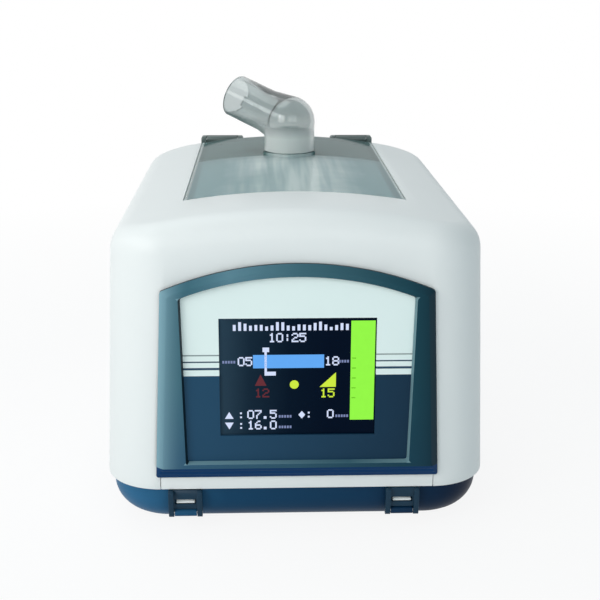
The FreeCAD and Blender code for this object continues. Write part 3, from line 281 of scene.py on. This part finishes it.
def lidMaterial(s):
    material = clearPlastic("chamberLid", clears["chamber_lid"])
    tree = material.node_tree
    baseColour = tree.nodes["Principled BSDF"].inputs["Base Color"]
    plain = baseColour.links[0].from_socket
    axes = objectAxes(tree)
    # painted reflection: a pale streak with bright rays from the port towards the front edge
    fade = s["fade"] * mm
    wander = mapRange(tree, noiseAt(tree, objectPoint(tree), s["wanderScale"]), -fade, fade)
    away = mathOf(tree, "ABSOLUTE", axes["X"], 0.0)
    aside = mathOf(tree, "ADD", away, wander)
    streak = mapRange(tree, aside, 1.0, 0.0, s["half"] * mm - fade, s["half"] * mm + fade)
    stretch = tree.nodes.new("ShaderNodeVectorMath")
    stretch.operation = "MULTIPLY"
    stretch.inputs[1].default_value = (1.0, s["rayStretch"], 0.0)
    tree.links.new(objectPoint(tree), stretch.inputs[0])
    lines = noiseAt(tree, stretch.outputs["Vector"], s["rays"], s["rayDetail"])
    rays = mapRange(tree, lines, s["rayFrom"], 1.0, s["rayWeak"], s["rayStrong"])
    # painted shade behind the tub's cross wall
    backLow, backHigh = (s["back"] - s["backSoft"]) * mm, (s["back"] + s["backSoft"]) * mm
    behind = mapRange(tree, axes["Y"], 0.0, 1.0, backLow, backHigh)
    ahead = mathOf(tree, "SUBTRACT", 1.0, behind)
    lit = mathOf(tree, "MULTIPLY", mathOf(tree, "MULTIPLY", streak, rays), ahead)
    colour = mixColours(tree, lit, plain, srgb(*s["pale"]))
    colour = mixColours(tree, behind, colour, srgb(*s["dark"]))
    # painted highlight along the lid's side edges
    edgeLow, edgeHigh = (s["edge"] - s["edgeSoft"]) * mm, (s["edge"] + s["edgeSoft"]) * mm
    edge = mapRange(tree, away, 0.0, 1.0, edgeLow, edgeHigh)
    tree.links.new(mixColours(tree, edge, colour, srgb(*s["edgePale"])), baseColour)
    return material


materials["chamber_lid"] = lidMaterial(lidPaintedLight)

# elbow on the lid: its collar is paler and keeps more light in the wall than its arm
elbowHaze = {"collar": 0.46, "arm": 0.08, "start": 149.0, "end": 161.0, "pale": (246, 250, 248)}


def elbowMaterial(s):
    material = clearPlastic("outletElbow", clears["outlet_elbow"])
    tree = material.node_tree
    shader = tree.nodes["Principled BSDF"]
    up = mapRange(tree, objectAxes(tree)["Z"], 0.0, 1.0, s["start"] * mm, s["end"] * mm)
    clear = mapRange(tree, up, 1 - s["collar"], 1 - s["arm"])
    tree.links.new(clear, shader.inputs["Transmission Weight"])
    plain = shader.inputs["Base Color"].links[0].from_socket
    tree.links.new(mixColours(tree, up, srgb(*s["pale"]), plain), shader.inputs["Base Color"])
    return material


materials["outlet_elbow"] = elbowMaterial(elbowHaze)


# a tone that changes from left to right by stops, wavering a little
waverScale = 22


def acrossTone(tree, s, tones="tones"):
    waves = noiseAt(tree, objectPoint(tree), waverScale)
    wander = mapRange(tree, waves, -s["waver"] * mm, s["waver"] * mm)
    across = mathOf(tree, "ADD", objectAxes(tree)["X"], wander)
    ramp = tree.nodes.new("ShaderNodeValToRGB")
    stops = ramp.color_ramp.elements
    while len(stops) < len(s[tones]):
        stops.new(0.5)
    for stop, (place, tone) in zip(stops, s[tones]):
        stop.position = place
        stop.color = (*srgb(*tone), 1.0)
    share = mapRange(tree, across, 0.0, 1.0, -s["half"] * mm, s["half"] * mm)
    tree.links.new(share, ramp.inputs["Fac"])
    return ramp.outputs["Color"]


# the tray, with a painted highlight at its left and painted shade at its right, and the display,
# which looks paler at its left side as a painted glow
paintedLightAcross = {
    "base_tray": {
        "finish": "tray_plastic", "half": 83.0, "waver": 9.0,
        "tones": ((0.05, (46, 102, 140)), (0.3, (20, 66, 98)), (0.68, (14, 54, 84)),
                  (0.95, (0, 24, 50))),
    },
    "display_glass": {
        "finish": "display_glass", "half": 34.0, "waver": 2.0,
        "tones": ((0.03, (44, 66, 82)), (0.2, (22, 42, 58)), (0.45, (4, 22, 40)),
                  (0.7, (0, 14, 34))),
    },
}


def tonedPlastic(name, s):
    material = mouldedPlastic(name + "Tone", finishes[s["finish"]])
    tree = material.node_tree
    # painted light: the base colour steps from left to right through the stops
    tree.links.new(acrossTone(tree, s), tree.nodes["Principled BSDF"].inputs["Base Color"])
    return material


for name, tint in paintedLightAcross.items():
    materials[name] = tonedPlastic(name, tint)

# frame round the display: bluer on its lower ledge, with painted light from the left on the rest;
# lighter at the left and darker at the right, a painted highlight towards the outer side of its
# left limb and painted shade towards its right one, painted shade on its seams and on the window's
# left and upper walls, and a painted highlight on the other two walls
framePaintedLight = {
    "half": 60.0, "waver": 10.0, "shine": 0.1, "ledgeTop": 31.2, "ledge": (0, 54, 98),
    "tones": ((0.12, (62, 104, 118)), (0.25, (92, 132, 146)), (0.5, (64, 104, 116)),
              (0.9, (22, 66, 79))),
    "footTones": ((0.1, (54, 92, 116)), (0.5, (48, 86, 103)), (0.9, (22, 62, 78))),
    "footLow": 36.0, "footHigh": 72.0,
    "sides": ((0.1, (130, 167, 179)), (0.9, (6, 40, 53))),
    "limbIn": 47.0, "limbOut": 60.0, "lean": 4.1, "leanLow": 26.0, "leanHigh": 108.0,
    "rims": ((0.1, (118, 154, 166)), (0.7, (66, 104, 118)), (0.9, (112, 144, 152))),
    "seam": (16, 36, 46),
}
# painted shade and highlight marks, written on the frame's faces and read back from these levels up
paintedLightMarks = {"rim": 0.5, "seam": 1.0, "rimFrom": 0.25, "seamFrom": 0.75}


def frameMaterial(s):
    material = mouldedPlastic("frontFrame", finishes["slate_plastic"])
    tree = material.node_tree
    shader = tree.nodes["Principled BSDF"]
    axes = objectAxes(tree)
    # painted light from the left: lighter at the left and darker at the right, on the face and foot
    sink = mapRange(tree, axes["Z"], 1.0, 0.0, s["footLow"] * mm, s["footHigh"] * mm)
    colour = mixColours(tree, sink, acrossTone(tree, s), acrossTone(tree, s, "footTones"))
    # painted highlight towards the left limb's outer side and painted shade towards the right one's
    rise = mapRange(tree, axes["Z"], 0.0, s["lean"] * mm, s["leanLow"] * mm, s["leanHigh"] * mm)
    aside = mathOf(tree, "ADD", mathOf(tree, "ABSOLUTE", axes["X"], 0.0), rise)
    outward = mapRange(tree, aside, 0.0, 1.0, s["limbIn"] * mm, s["limbOut"] * mm)
    outward = mathOf(tree, "MULTIPLY", outward, outward)
    colour = mixColours(tree, outward, colour, acrossTone(tree, s, "sides"))
    low = mathOf(tree, "LESS_THAN", axes["Z"], s["ledgeTop"] * mm)
    colour = mixColours(tree, low, colour, srgb(*s["ledge"]))
    # painted highlight on the window's right and foot walls, painted shade on its left and head
    # walls and on the ring next to the casing
    wall = tree.nodes.new("ShaderNodeAttribute")
    wall.attribute_name = "wall"
    for level, tone in ((paintedLightMarks["rimFrom"], acrossTone(tree, s, "rims")),
                        (paintedLightMarks["seamFrom"], srgb(*s["seam"]))):
        marked = mathOf(tree, "GREATER_THAN", wall.outputs["Fac"], level)
        colour = mixColours(tree, marked, colour, tone)
    tree.links.new(colour, shader.inputs["Base Color"])
    shader.inputs["Specular IOR Level"].default_value = s["shine"]
    return material


materials["front_bezel"] = frameMaterial(framePaintedLight)

record = frame["record"]
slotOf = {part["node"]: part["material_slot"] for part in record["subparts"]}
bodyOf = {name: body for body, names in record["behaviour"]["bodies"].items() for name in names}
materials["front_latch_left"] = materials["front_latch_right"] = materials["latch"]
finishOf = {name: materials.get(name, materials[slotOf[name]]) for name in nodes}
for name, node in nodes.items():
    node.data.materials.clear()
    node.data.materials.append(finishOf[name])
print("materials on", len(nodes), "nodes")


def meshFrom(bm, name):
    mesh = bpy.data.meshes.new(name)
    bm.to_mesh(mesh)
    bm.free()
    return mesh


def addPiece(name, mesh, material, body="root"):
    piece = bpy.data.objects.new(name, mesh)
    mesh.materials.clear()
    mesh.materials.append(material)
    bpy.context.collection.objects.link(piece)
    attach(piece, body)
    return piece


# pieces whose moulded edges are broken by a small round, as its width in millimetres and segments
softEdges = {
    "front_sill": (0.3, 2), "upper_casing": (0.4, 2),
    "front_latch_left": (0.35, 2), "front_latch_right": (0.35, 2),
    "hinge_lug_left": (0.5, 3), "hinge_lug_right": (0.5, 3),
    "lid_knuckle_left": (0.4, 2), "lid_knuckle_right": (0.4, 2), "filter_cover": (0.25, 2),
    "switch_frame": (0.3, 2), "power_switch": (0.3, 2), "power_inlet": (0.3, 2),
}
hair = 0.001 * mm  # points nearer than this are one point
flatTurn = 0.5  # facets that turn by fewer degrees are one face


# a merged copy of a node, with its flat facets joined
def mergedCopy(name):
    bm = bmesh.new()
    bm.from_mesh(nodes[name].data)
    bmesh.ops.remove_doubles(bm, verts=bm.verts, dist=hair)
    bmesh.ops.dissolve_limit(bm, angle_limit=math.radians(flatTurn), verts=bm.verts,
                             edges=bm.edges, use_dissolve_boundaries=False)
    return bm


def roundEdges(piece, width, segments, angle=40):
    bevel = piece.modifiers.new("edgeRound", "BEVEL")
    bevel.width = width * mm
    bevel.segments = segments
    bevel.limit_method = "ANGLE"
    bevel.angle_limit = math.radians(angle)
    bevel.harden_normals = True


# the mesh takes the node's place, with its finish and body
def standIn(name, bm):
    for face in bm.faces:
        face.smooth = True
    mesh = meshFrom(bm, name + "Soft")
    piece = addPiece(name + "Soft", mesh, finishOf[name], bodyOf[name])
    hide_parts(name)
    return piece


for name, (width, segments) in softEdges.items():
    roundEdges(standIn(name, mergedCopy(name)), width, segments)
print("edges softened on", len(softEdges), "pieces")

# the clear elbow is shaded as one smooth skin, broken only where it turns by more degrees than that
elbowSkin = {"merge": 0.08, "turn": 32}


def smoothElbow(s):
    bm = mergedCopy("outlet_elbow")
    bmesh.ops.remove_doubles(bm, verts=bm.verts, dist=s["merge"] * mm)
    bmesh.ops.recalc_face_normals(bm, faces=bm.faces)
    standIn("outlet_elbow", bm).data.set_sharp_from_angle(angle=math.radians(s["turn"]))


smoothElbow(elbowSkin)

# frame round the display, as rings from the casing forward, down the window and back behind it, in
# millimetres; a ring has its depth behind the front and how far side, foot and head are set in
frameLow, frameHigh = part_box("front_bezel")
frameShape = {
    "half": frameHigh.x / mm, "low": frameLow.z / mm, "top": frameHigh.z / mm,
    "front": frameLow.y / mm, "lean": 4.1, "arch": 11.5, "steps": 28,
    "rings": ((4.1, 0, 0, 0), (2.6, 0, 0, 0), (2.05, 0.65, 1.55, 0.5), (1.45, 1.3, 1.85, 1.1),
              (1.15, 1.65, 3.5, 1.4), (0.55, 2.35, 3.8, 2.0), (0, 3.0, 5.4, 2.6)),
    "sideLow": 13.7, "sideHigh": 8.2, "foot": 7.7, "head": 5.3, "windowArch": 9.0,
    "draft": 0.75, "headDraft": 0.45,
    "behind": ((2.3, 3.0, 3.1, 3.1), (4.1, 3.0, 3.1, 3.1), (4.1, 0, 0, 0)), "skirt": 4.05,
    "corner": 0.8, "windowCorner": 0.9, "cornerSteps": 4, "cornerReach": 12,
    "edge": 0.3, "edgeSteps": 3, "edgeTurn": 25,
}


# corners of an outline with an arched top: foot left and right, then the arch from right to left
def archedOutline(lowHalf, highHalf, low, top, arch, steps):
    radius = (highHalf ** 2 + arch ** 2) / (2 * arch)
    sweep = math.asin(highHalf / radius)
    points = [(-lowHalf, low), (lowHalf, low)]
    for step in range(steps + 1):
        angle = sweep * (1 - 2 * step / steps)
        points.append((radius * math.sin(angle), top - radius * (1 - math.cos(angle))))
    return points


# the frame's own outline set in by that much at the sides, the foot and the head
def setIn(s, side, foot, head):
    highHalf = s["half"] - s["lean"] - side
    radius = ((s["half"] - s["lean"]) ** 2 + s["arch"] ** 2) / (2 * s["arch"]) - head
    arch = radius - math.sqrt(radius ** 2 - highHalf ** 2)
    tall = s["top"] - s["low"] - s["arch"]
    lowHalf = s["half"] - side - s["lean"] * foot / tall
    return archedOutline(lowHalf, highHalf, s["low"] + foot, s["top"] - head, arch, s["steps"])


# the window's outline, made larger by that much at the sides and the foot and by less at the head
def windowOutline(s, out, headOut):
    lowHalf = s["half"] - s["sideLow"] + out
    highHalf = s["half"] - s["lean"] - s["sideHigh"] + out
    low, top = s["low"] + s["foot"] - out, s["top"] - s["head"] + headOut
    return archedOutline(lowHalf, highHalf, low, top, s["windowArch"], s["steps"])


def frameRings(s):
    ahead = [(s["front"] + back, setIn(s, *inset)) for back, *inset in s["rings"]]
    window = [(s["front"], windowOutline(s, s["draft"], s["headDraft"])),
              (s["front"] + s["behind"][0][0], windowOutline(s, 0, 0))]
    behind = [(s["front"] + back, setIn(s, *inset)) for back, *inset in s["behind"]]
    return ahead + window + behind


# rounds the edges that run from ring to ring at the outline's four corners
def roundCorners(bm, rings, corner, s):
    places = [Vector((points[k][0], depth, points[k][1])) * mm
              for depth, points in rings for k in (0, 1, 2, -1)]
    near = {vert for vert in bm.verts
            if any((vert.co - place).length < 10 * hair for place in places)}
    reach = s["cornerReach"] * mm
    along = [edge for edge in bm.edges if near.issuperset(edge.verts)
             and abs(edge.verts[0].co.x - edge.verts[1].co.x) < reach
             and abs(edge.verts[0].co.z - edge.verts[1].co.z) < reach]
    bmesh.ops.bevel(bm, geom=along, offset=corner * mm, segments=s["cornerSteps"], affect="EDGES",
                    profile=0.5, material=-1)


# the part of the CAD frame behind the new one, cut flat and closed
def frameSkirt(s):
    bm = mergedCopy("front_bezel")
    cut = bmesh.ops.bisect_plane(bm, geom=bm.verts[:] + bm.edges[:] + bm.faces[:], dist=hair,
                                 plane_co=(0, (s["front"] + s["skirt"]) * mm, 0),
                                 plane_no=(0, -1, 0), clear_outer=True)["geom_cut"]
    rim = [item for item in cut if isinstance(item, bmesh.types.BMEdge)]
    bmesh.ops.triangle_fill(bm, edges=rim, use_beauty=True, normal=(0, -1, 0))
    bmesh.ops.recalc_face_normals(bm, faces=bm.faces)
    return meshFrom(bm, "frameSkirt")


def buildFrame(s):
    bm = bmesh.new()
    rings = frameRings(s)
    window = len(s["rings"])
    depth, points = rings[0]
    ring = [bm.verts.new((x * mm, depth * mm, z * mm)) for x, z in points]
    loop = [bm.edges.new((ring[k - 1], ring[k])) for k in range(len(ring))]
    wall = bm.faces.layers.float.new("wall")
    # the ring next to the casing takes the painted shade, the window's walls the painted highlight
    marks = {0: paintedLightMarks["seam"], window: paintedLightMarks["rim"]}
    for index, (depth, points) in enumerate(rings[1:]):
        out = bmesh.ops.extrude_edge_only(bm, edges=loop)["geom"]
        for item in out:
            if isinstance(item, bmesh.types.BMFace):
                item[wall] = marks.get(index, 0.0)
        loop = [item for item in out if isinstance(item, bmesh.types.BMEdge)]
        fresh = [item for item in out if isinstance(item, bmesh.types.BMVert)]
        ring = [min(fresh, key=lambda vert: (vert.co - old.co).length) for old in ring]
        for vert, (x, z) in zip(ring, points):
            bmesh.ops.translate(bm, verts=[vert], vec=Vector((x, depth, z)) * mm - vert.co)
    bmesh.ops.remove_doubles(bm, verts=bm.verts, dist=hair)
    roundCorners(bm, rings[:window], s["corner"], s)
    roundCorners(bm, rings[window:window + 2], s["windowCorner"], s)
    bmesh.ops.recalc_face_normals(bm, faces=bm.faces)
    # the window's left and head walls take the painted shade in place of the highlight
    for face in bm.faces:
        if face[wall] and (face.normal.x > 0.5 or face.normal.z < -0.5):
            face[wall] = paintedLightMarks["seam"]
    skirt = frameSkirt(s)
    bm.from_mesh(skirt)
    bpy.data.meshes.remove(skirt)
    roundEdges(standIn("front_bezel", bm), s["edge"], s["edgeSteps"], s["edgeTurn"])


buildFrame(frameShape)
print("frame built")

# rocker marks: a bar on its upper face and a ring on its lower one, sizes in millimetres
rockerMarks = {
    "colour": (226, 230, 230), "roughness": 0.5, "high": 0.08, "barWide": 0.55, "barTall": 2.6,
    "ring": 1.25, "line": 0.42, "steps": 32, "soft": 0.03, "softSteps": 2,
}
markPaint = mouldedPlastic("markPaint", rockerMarks)


# where the rocker's rear face lies above or below its pin, with z along the face's own normal
def rockerFace(above):
    bm = mergedCopy("power_switch")
    low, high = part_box("power_switch")
    middle = (low.z + high.z) / 2
    rear = [face for face in bm.faces if face.normal.y > 0.9]
    half = [face for face in rear if (face.calc_center_median().z > middle) == above]
    face = max(half, key=lambda each: each.calc_area())
    turn = face.normal.to_track_quat("Z", "Y").to_matrix().to_4x4()
    place = Matrix.Translation(face.calc_center_median()) @ turn
    bm.free()
    return place


def addMark(name, bm, above):
    bmesh.ops.recalc_face_normals(bm, faces=bm.faces)
    bmesh.ops.transform(bm, matrix=rockerFace(above), verts=bm.verts)
    return addPiece(name, meshFrom(bm, name), markPaint, "rocker")


def buildMarks(s):
    bm = bmesh.new()
    size = Matrix.Diagonal((s["barWide"] * mm, s["barTall"] * mm, 2 * s["high"] * mm, 1))
    bmesh.ops.create_cube(bm, size=1, matrix=size)
    bmesh.ops.bevel(bm, geom=bm.edges[:], offset=s["soft"] * mm, segments=s["softSteps"],
                    affect="EDGES", profile=0.5, material=-1)
    addMark("rockerBar", bm, True)
    bm = bmesh.new()
    corners = [(s["ring"] + across * s["line"] / 2, up * s["high"])
               for across, up in ((-1, -1), (1, -1), (1, 1), (-1, 1))]
    section = [bm.verts.new((out * mm, 0, up * mm)) for out, up in corners]
    sides = [bm.edges.new((section[k - 1], section[k])) for k in range(4)]
    bmesh.ops.spin(bm, geom=section + sides, cent=(0, 0, 0), axis=(0, 0, 1), angle=2 * math.pi,
                   steps=s["steps"], use_merge=True)
    bmesh.ops.remove_doubles(bm, verts=bm.verts, dist=hair)
    addMark("rockerRing", bm, False)


buildMarks(rockerMarks)
print("rocker marked")

# display: lit shapes laid on the glass, placed in shares of the screen's width and height
screenLow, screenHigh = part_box("display_glass")
display = {
    "width": 64.8 * mm, "height": 51.7 * mm, "middle": (screenLow.z + screenHigh.z) / 2,
    "front": screenLow.y, "proud": 0.04 * mm, "dot": 0.56 * mm, "bloom": 1.12, "pitch": 3.15 * mm,
}
inks = {
    "white": (214, 226, 255), "blue": (92, 168, 246), "green": (146, 250, 58),
    "yellow": (206, 236, 50), "red": (96, 22, 34), "faint": (96, 176, 44), "dim": (120, 134, 178),
}
litGlass = {
    "base": (0.01, 0.01, 0.012, 1.0), "strength": 1.0, "dull": 0.92, "toneScale": 300,
    "patchScale": 60, "smooth": 0.1, "rough": 0.16, "specular": 0.2,
}


def lcdMaterial(name, colour, s):
    material, tree, shader = newMaterial(name)
    point = objectPoint(tree)
    tint = srgb(*colour)
    lit = mixColours(tree, noiseAt(tree, point, s["toneScale"]), scaled(tint, s["dull"]), tint)
    shader.inputs["Base Color"].default_value = s["base"]
    tree.links.new(lit, shader.inputs["Emission Color"])
    shader.inputs["Emission Strength"].default_value = s["strength"]
    patches = noiseAt(tree, point, s["patchScale"])
    tree.links.new(mapRange(tree, patches, s["smooth"], s["rough"]), shader.inputs["Roughness"])
    shader.inputs["Specular IOR Level"].default_value = s["specular"]
    return material


lcdInks = {name: lcdMaterial("lcd" + name.capitalize(), ink, litGlass)
           for name, ink in inks.items()}


def onScreen(u, v):
    return Vector(((u - 0.5) * display["width"], display["front"],
                   display["middle"] + (0.5 - v) * display["height"]))


# a flat polygon given by corners in screen shares, laid on the glass
def screenShape(name, corners, ink):
    bm = bmesh.new()
    face = bm.faces.new([bm.verts.new(onScreen(*corner)) for corner in corners])
    out = bmesh.ops.extrude_face_region(bm, geom=[face])
    raised = [item for item in out["geom"] if isinstance(item, bmesh.types.BMVert)]
    bmesh.ops.translate(bm, verts=raised, vec=(0, -display["proud"], 0))
    bmesh.ops.recalc_face_normals(bm, faces=bm.faces)
    return addPiece(name, meshFrom(bm, name), lcdInks[ink])


def screenBar(name, left, top, right, bottom, ink):
    return screenShape(name, ((left, top), (right, top), (right, bottom), (left, bottom)), ink)


# numbers are drawn in the panel's own coarse dots, five across and seven down
dotRows = {
    "0": "01110 10001 10001 10001 10001 10001 01110",
    "1": "00100 01100 00100 00100 00100 00100 01110",
    "2": "01110 10001 00001 00110 01000 10000 11111",
    "5": "11111 10000 11110 00001 00001 10001 01110",
    "6": "00110 01000 10000 11110 10001 10001 01110",
    "7": "11111 00001 00010 00100 01000 01000 01000",
    "8": "01110 10001 10001 01110 10001 10001 01110",
    ":": "00000 00100 00100 00000 00100 00100 00000",
    ".": "00000 00000 00000 00000 00000 01100 01100",
}


def screenNumber(name, text, left, base, ink):
    bm = bmesh.new()
    dot, proud, start = display["dot"], display["proud"], onScreen(left, base)
    size = Matrix.Diagonal((dot * display["bloom"], proud, dot * display["bloom"], 1))
    for place, sign in enumerate(text):
        for row, line in enumerate(dotRows[sign].split()):
            for column in (index for index, lit in enumerate(line) if lit == "1"):
                across = place * display["pitch"] + (column + 0.5) * dot
                middle = start + Vector((across, -proud / 2, (6.5 - row) * dot))
                bmesh.ops.create_cube(bm, size=1, matrix=Matrix.Translation(middle) @ size)
    return addPiece(name, meshFrom(bm, name), lcdInks[ink])


screenNumbers = (
    ("clockNumbers", "10:25", 0.315, 0.205, "white"),
    ("rangeLowNumbers", "05", 0.118, 0.405, "white"),
    ("rangeHighNumbers", "18", 0.672, 0.405, "white"),
    ("faintNumbers", "12", 0.225, 0.675, "red"),
    ("rampNumbers", "15", 0.645, 0.68, "yellow"),
    ("upperReading", "07.5", 0.175, 0.862, "white"),
    ("lowerReading", "16.0", 0.175, 0.955, "white"),
    ("rightReading", "0", 0.69, 0.862, "white"),
)
for item in screenNumbers:
    screenNumber(*item)

screenBars = (
    ("rangeBar", 0.215, 0.312, 0.668, 0.425, "blue"),
    ("markerStem", 0.288, 0.27, 0.303, 0.47, "white"),
    ("markerHead", 0.276, 0.25, 0.318, 0.288, "white"),
    ("markerFoot", 0.288, 0.455, 0.36, 0.488, "white"),
    ("levelBar", 0.838, 0.03, 0.992, 0.878, "green"),
    ("upperColonHigh", 0.128, 0.805, 0.14, 0.82, "white"),
    ("upperColonLow", 0.128, 0.84, 0.14, 0.855, "white"),
    ("lowerColonHigh", 0.128, 0.898, 0.14, 0.913, "white"),
    ("lowerColonLow", 0.128, 0.933, 0.14, 0.948, "white"),
    ("rightColonHigh", 0.566, 0.805, 0.578, 0.82, "white"),
    ("rightColonLow", 0.566, 0.84, 0.578, 0.855, "white"),
)
for item in screenBars:
    screenBar(*item)

# small unit marks beside the readings, as rows of short strokes
unitMarks = {
    "lowUnit": (0.02, 0.36, 5), "highUnit": (0.762, 0.36, 4), "upperUnit": (0.378, 0.832, 5),
    "lowerUnit": (0.378, 0.925, 5), "rightUnit": (0.745, 0.832, 5),
}
unitStroke = {"pitch": 0.0175, "width": 0.012, "height": 0.022}
for name, (left, top, count) in unitMarks.items():
    for index in range(count):
        start = left + index * unitStroke["pitch"]
        screenBar(f"{name}{index}", start, top, start + unitStroke["width"],
                  top + unitStroke["height"], "dim")

# bars of uneven height across the top, like a small graph
graphBars = {"count": 22, "left": 0.09, "pitch": 0.034, "width": 0.018, "base": 0.108,
             "least": 0.025, "most": 0.075, "swings": (1.3, 0.37)}
for index in range(graphBars["count"]):
    left = graphBars["left"] + index * graphBars["pitch"]
    fast, slow = graphBars["swings"]
    swing = 0.5 + 0.5 * math.sin(index * fast) * math.cos(index * slow)
    tall = graphBars["least"] + (graphBars["most"] - graphBars["least"]) * swing
    screenBar(f"graphBar{index}", left, graphBars["base"] - tall, left + graphBars["width"],
              graphBars["base"], "white")

levelTicks = {"count": 5, "left": 0.846, "right": 0.872, "top": 0.34, "pitch": 0.085, "thick": 0.01}
for index in range(levelTicks["count"]):
    top = levelTicks["top"] + index * levelTicks["pitch"]
    screenBar(f"levelTick{index}", levelTicks["left"], top, levelTicks["right"],
              top + levelTicks["thick"], "faint")

screenShape("upperIcon", ((0.03, 0.86), (0.058, 0.8), (0.086, 0.86)), "white")
screenShape("lowerIcon", ((0.03, 0.893), (0.086, 0.893), (0.058, 0.953)), "white")
screenShape("rightIcon", ((0.505, 0.83), (0.527, 0.797), (0.549, 0.83), (0.527, 0.863)), "white")
screenShape("faintIcon", ((0.225, 0.575), (0.262, 0.478), (0.3, 0.575)), "red")
screenShape("rampIcon", ((0.745, 0.465), (0.745, 0.59), (0.64, 0.59)), "yellow")
dotIcon = {"u": 0.478, "v": 0.567, "across": 0.029, "down": 0.037, "sides": 16}
turns = [step * 2 * math.pi / dotIcon["sides"] for step in range(dotIcon["sides"])]
dotCorners = [(dotIcon["u"] + dotIcon["across"] * math.cos(turn),
               dotIcon["v"] + dotIcon["down"] * math.sin(turn)) for turn in turns]
screenShape("dotIcon", dotCorners, "yellow")
print("display lit")


# camera, lamps, world and floor
cameraSettings = {"place": (-0.0139, -0.5307, 0.2361), "turn": 1.99, "dip": 17.23, "roll": 0.19,
                  "lens": 65.7, "sensor": 36, "near": 0.01}


def addCamera(s):
    data = bpy.data.cameras.new("camera")
    data.lens = s["lens"]
    data.sensor_width = s["sensor"]
    data.clip_start = s["near"]
    camera = bpy.data.objects.new("camera", data)
    turn, dip = math.radians(s["turn"]), math.radians(s["dip"])
    level = math.cos(dip)
    ahead = Vector((math.sin(turn) * level, math.cos(turn) * level, -math.sin(dip)))
    look = ahead.to_track_quat("-Z", "Y").to_matrix().to_4x4()
    roll = Matrix.Rotation(math.radians(s["roll"]), 4, "Z")
    camera.matrix_world = Matrix.Translation(s["place"]) @ look @ roll
    bpy.context.collection.objects.link(camera)
    bpy.context.scene.camera = camera


addCamera(cameraSettings)

lampSettings = {
    "key": {"place": (-0.7, -0.8, 0.5), "power": 3.6, "size": (0.6, 0.6),
            "colour": (1.0, 0.975, 0.94)},
    "strip": {"place": (-0.66, -0.28, 0.52), "power": 1.2, "size": (0.66, 0.22),
              "colour": (1.0, 1.0, 1.0)},
    "fill": {"place": (0.25, -1.1, 0.55), "power": 2.3, "size": (0.9, 0.6),
             "colour": (0.93, 0.99, 1.0)},
    "top": {"place": (-0.35, 0.3, 1.1), "power": 3.0, "size": (0.8, 0.8),
            "colour": (0.97, 1.0, 1.0)},
}
lampAim = Vector((0, 0, 0.06))


def addLamp(name, s):
    data = bpy.data.lights.new(name, "AREA")
    data.energy = s["power"]
    data.shape = "RECTANGLE"
    data.size, data.size_y = s["size"]
    data.color = s["colour"]
    lamp = bpy.data.objects.new(name, data)
    place = Vector(s["place"])
    aim = (lampAim - place).to_track_quat("-Z", "Y").to_matrix().to_4x4()
    lamp.matrix_world = Matrix.Translation(place) @ aim
    bpy.context.collection.objects.link(lamp)


for name, lampSetting in lampSettings.items():
    addLamp(name, lampSetting)


# 1 where the camera, gloss or clear plastic looks, 0 for the light that falls on the object
def seenDirectly(tree):
    path = tree.nodes.new("ShaderNodeLightPath")
    seen = path.outputs["Is Camera Ray"]
    for name in ("Is Glossy Ray", "Is Transmission Ray"):
        seen = mathOf(tree, "MAXIMUM", seen, path.outputs[name])
    return seen


worldSettings = {"light": (0.262, 0.33, 0.362)}


def addWorld(s):
    world = bpy.data.worlds.new("studio")
    world.use_nodes = True
    bpy.context.scene.world = world
    tree = world.node_tree
    colour = mixColours(tree, seenDirectly(tree), s["light"], (1.0, 1.0, 1.0))
    tree.links.new(colour, tree.nodes["Background"].inputs["Color"])


addWorld(worldSettings)

floorSettings = {"size": 30.0, "colour": (0.9, 0.91, 0.92), "roughness": 0.9, "shadow": 0.11,
                 "near": 0.2, "far": 0.6}


def floorMaterial(s):
    material, tree, shader = newMaterial("paleFloor")
    shader.inputs["Base Color"].default_value = (*s["colour"], 1.0)
    shader.inputs["Roughness"].default_value = s["roughness"]
    shader.inputs["Specular IOR Level"].default_value = 0.0
    # the camera sees plain white, and near the object a share of the lit floor with its shadow
    white = tree.nodes.new("ShaderNodeEmission")
    mixed = tree.nodes.new("ShaderNodeMixShader")
    reach = tree.nodes.new("ShaderNodeVectorMath")
    reach.operation = "LENGTH"
    tree.links.new(objectPoint(tree), reach.inputs[0])
    plain = mapRange(tree, reach.outputs["Value"], 1.0 - s["shadow"], 1.0, s["near"], s["far"])
    tree.links.new(mathOf(tree, "MULTIPLY", seenDirectly(tree), plain), mixed.inputs["Fac"])
    tree.links.new(shader.outputs["BSDF"], mixed.inputs[1])
    tree.links.new(white.outputs["Emission"], mixed.inputs[2])
    tree.links.new(mixed.outputs["Shader"], tree.nodes["Material Output"].inputs["Surface"])
    return material


def addFloor(s):
    bm = bmesh.new()
    bmesh.ops.create_grid(bm, x_segments=1, y_segments=1, size=s["size"] / 2)
    mesh = meshFrom(bm, "floor")
    mesh.materials.append(floorMaterial(s))
    floor = bpy.data.objects.new("floor", mesh)
    bpy.context.collection.objects.link(floor)


addFloor(floorSettings)
bpy.context.scene.view_settings.view_transform = "Standard"
print("camera, lamps and floor")
